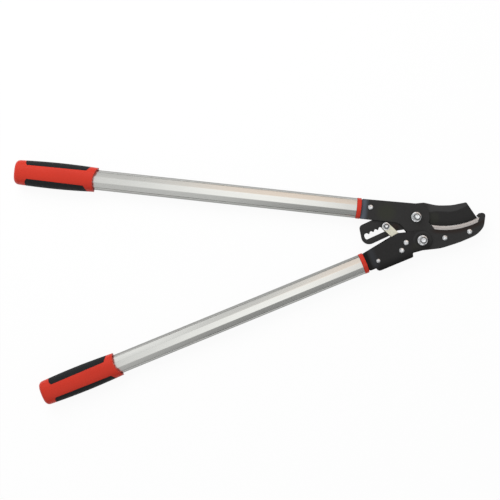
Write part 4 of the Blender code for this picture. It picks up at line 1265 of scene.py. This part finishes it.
WHITE = (1.0, 1.0, 1.0, 1.0)
WARM = (1.11, 0.95, 0.84, 1.0)
FLOOR_WIDTH = 40.0
KEY_SIZE = 1.3
KEY_PLACE = (-0.75, 1.15, 1.35)
SENSOR_WIDTH = 36.0

# How much of the floor is plain white to the camera, and what share of that is left in reflections
WHITE_SHARE = 0.93
MIRRORED_SHARE = 0.35


def ray_is(graph, kind):
    """Whether the ray that meets a surface is of a kind."""
    return graph.node("ShaderNodeLightPath", output=f"Is {kind} Ray")


def floor_material():
    """Pale floor that is white to the camera and in reflections, and keeps some of the lopper's shadow."""
    material = bpy.data.materials.new("studio_floor")
    material.use_nodes = True
    graph = Graph(material.node_tree)
    graph.tree.nodes.clear()
    seen = ray_is(graph, "Camera") + ray_is(graph, "Glossy") * MIRRORED_SHARE + ray_is(graph, "Transmission")
    shade = tinted(bpy.context.scene.lopper_studio.floor)
    plain = graph.node("ShaderNodeBsdfDiffuse", inputs={"Color": shade})
    white = graph.node("ShaderNodeEmission", inputs={"Color": WHITE, "Strength": 1.0})
    both = graph.node("ShaderNodeMixShader", inputs={0: seen * WHITE_SHARE, 1: plain, 2: white})
    graph.node("ShaderNodeOutputMaterial", inputs={"Surface": both})
    return material


def set_world(strength):
    """Pale surroundings: white to the camera, and to metal brightest overhead and dim at the horizon.

    A warm patch on one side is mirrored by the upper tube near the head.
    """
    world = bpy.data.worlds.new("studio")
    world.use_nodes = True
    bpy.context.scene.world = world
    graph = Graph(world.node_tree)
    graph.tree.nodes.clear()
    x, y, z = graph.parts(graph.node("ShaderNodeTexCoord", output="Generated"))
    near = graph.ramp(x, -0.30, 0.0)
    overhead = graph.ramp(z, 0.78, 0.97) * (near * 0.24 + graph.ramp(x, -0.05, 0.15) * 0.12 + 0.25)
    behind = graph.ramp(y, 0.1, 0.7) * (near * 0.36 + graph.ramp(x, -0.60, -0.36, 0.85, 0.0))
    before = graph.ramp(y, -0.6, -0.1, 0.32, 0.0) * graph.ramp(x, -0.02, 0.35)
    pale = (overhead + behind - before + 0.63) * graph.ramp(z, 0.15, 0.60, 0.15, 1.0)
    warm = graph.ramp(x, -0.09, 0.05) * graph.ramp(y, 0.15, 0.50)
    shade = graph.blend(warm, WHITE, WARM)
    mirrored = graph.node("ShaderNodeBackground", inputs={"Color": shade, "Strength": pale})
    lighting = graph.node("ShaderNodeBackground", inputs={"Color": WHITE, "Strength": strength})
    backdrop = graph.node("ShaderNodeBackground", inputs={"Color": WHITE, "Strength": 1.0})
    lit = graph.node("ShaderNodeMixShader", inputs={0: ray_is(graph, "Glossy"), 1: lighting, 2: mirrored})
    both = graph.node("ShaderNodeMixShader", inputs={0: ray_is(graph, "Camera"), 1: lit, 2: backdrop})
    graph.node("ShaderNodeOutputWorld", inputs={"Surface": both})


def add_light(name, power, size, place, aim):
    light = bpy.data.lights.new(name, "AREA")
    light.energy = power
    light.size = size
    item = added(name, light)
    item.location = place
    item.rotation_euler = (Vector(aim) - Vector(place)).to_track_quat("-Z", "Y").to_euler()
    item.visible_camera = False
    item.visible_glossy = False


class LOPPER_OT_studio(bpy.types.Operator):
    """Pale floor, a soft light, and a camera that looks straight down"""

    bl_idname = "lopper.studio"
    bl_label = "Studio"

    def execute(self, context):
        studio = context.scene.lopper_studio
        bpy.ops.mesh.primitive_plane_add(size=FLOOR_WIDTH, location=(0.0, 0.0, 0.0))
        floor = context.object
        floor.name = "studio_floor"
        floor.data.materials.append(floor_material())
        set_world(studio.world)
        add_light("key_light", studio.key, KEY_SIZE, KEY_PLACE, (0.0, 0.0, 0.0))
        camera = added("camera", bpy.data.cameras.new("camera"))
        camera.data.lens = studio.lens
        camera.data.sensor_width = SENSOR_WIDTH
        camera.location = joint_place("blade_hinge") + Vector((*PICTURE_MIDDLE, studio.camera_height))
        camera.rotation_euler = (0.0, 0.0, studio.camera_turn)
        context.scene.camera = camera
        context.scene.view_settings.view_transform = "Standard"
        return {"FINISHED"}


PIECES = (
    LOPPER_OT_jaw_plates,
    LOPPER_OT_blade,
    LOPPER_OT_bracket,
    LOPPER_OT_links,
    LOPPER_OT_anvil,
    LOPPER_OT_rivets,
    LOPPER_OT_pivot_fasteners,
    LOPPER_OT_ratchet_pin,
    LOPPER_OT_spring,
    LOPPER_OT_tubes,
    LOPPER_OT_tang_cores,
    LOPPER_OT_collars,
    LOPPER_OT_grips,
    LOPPER_OT_studio,
)


class LOPPER_PT_panel(bpy.types.Panel):
    """Sidebar panel that lists the pieces"""

    bl_idname = "LOPPER_PT_panel"
    bl_label = "Ratchet anvil lopper"
    bl_space_type = "VIEW_3D"
    bl_region_type = "UI"
    bl_category = "Lopper"

    def draw(self, context):
        for piece in PIECES:
            self.layout.operator(piece.bl_idname)
        for group in (context.scene.lopper_sizes, context.scene.lopper_colours, context.scene.lopper_studio):
            box = self.layout.box()
            for name in group.__annotations__:
                box.prop(group, name)


GROUPS = {"lopper_sizes": LopperSizes, "lopper_colours": LopperColours, "lopper_studio": LopperStudio}


def register():
    for item in (*GROUPS.values(), *PIECES, LOPPER_PT_panel):
        bpy.utils.register_class(item)
    for name, group in GROUPS.items():
        setattr(bpy.types.Scene, name, PointerProperty(type=group))


def unregister():
    for name in GROUPS:
        delattr(bpy.types.Scene, name)
    for item in (LOPPER_PT_panel, *reversed(PIECES), *GROUPS.values()):
        bpy.utils.unregister_class(item)


def main():
    """Make every piece and the studio."""
    register()
    for piece in PIECES:
        group, name = piece.bl_idname.split(".")
        getattr(getattr(bpy.ops, group), name)()


if __name__ == "__main__":
    main()
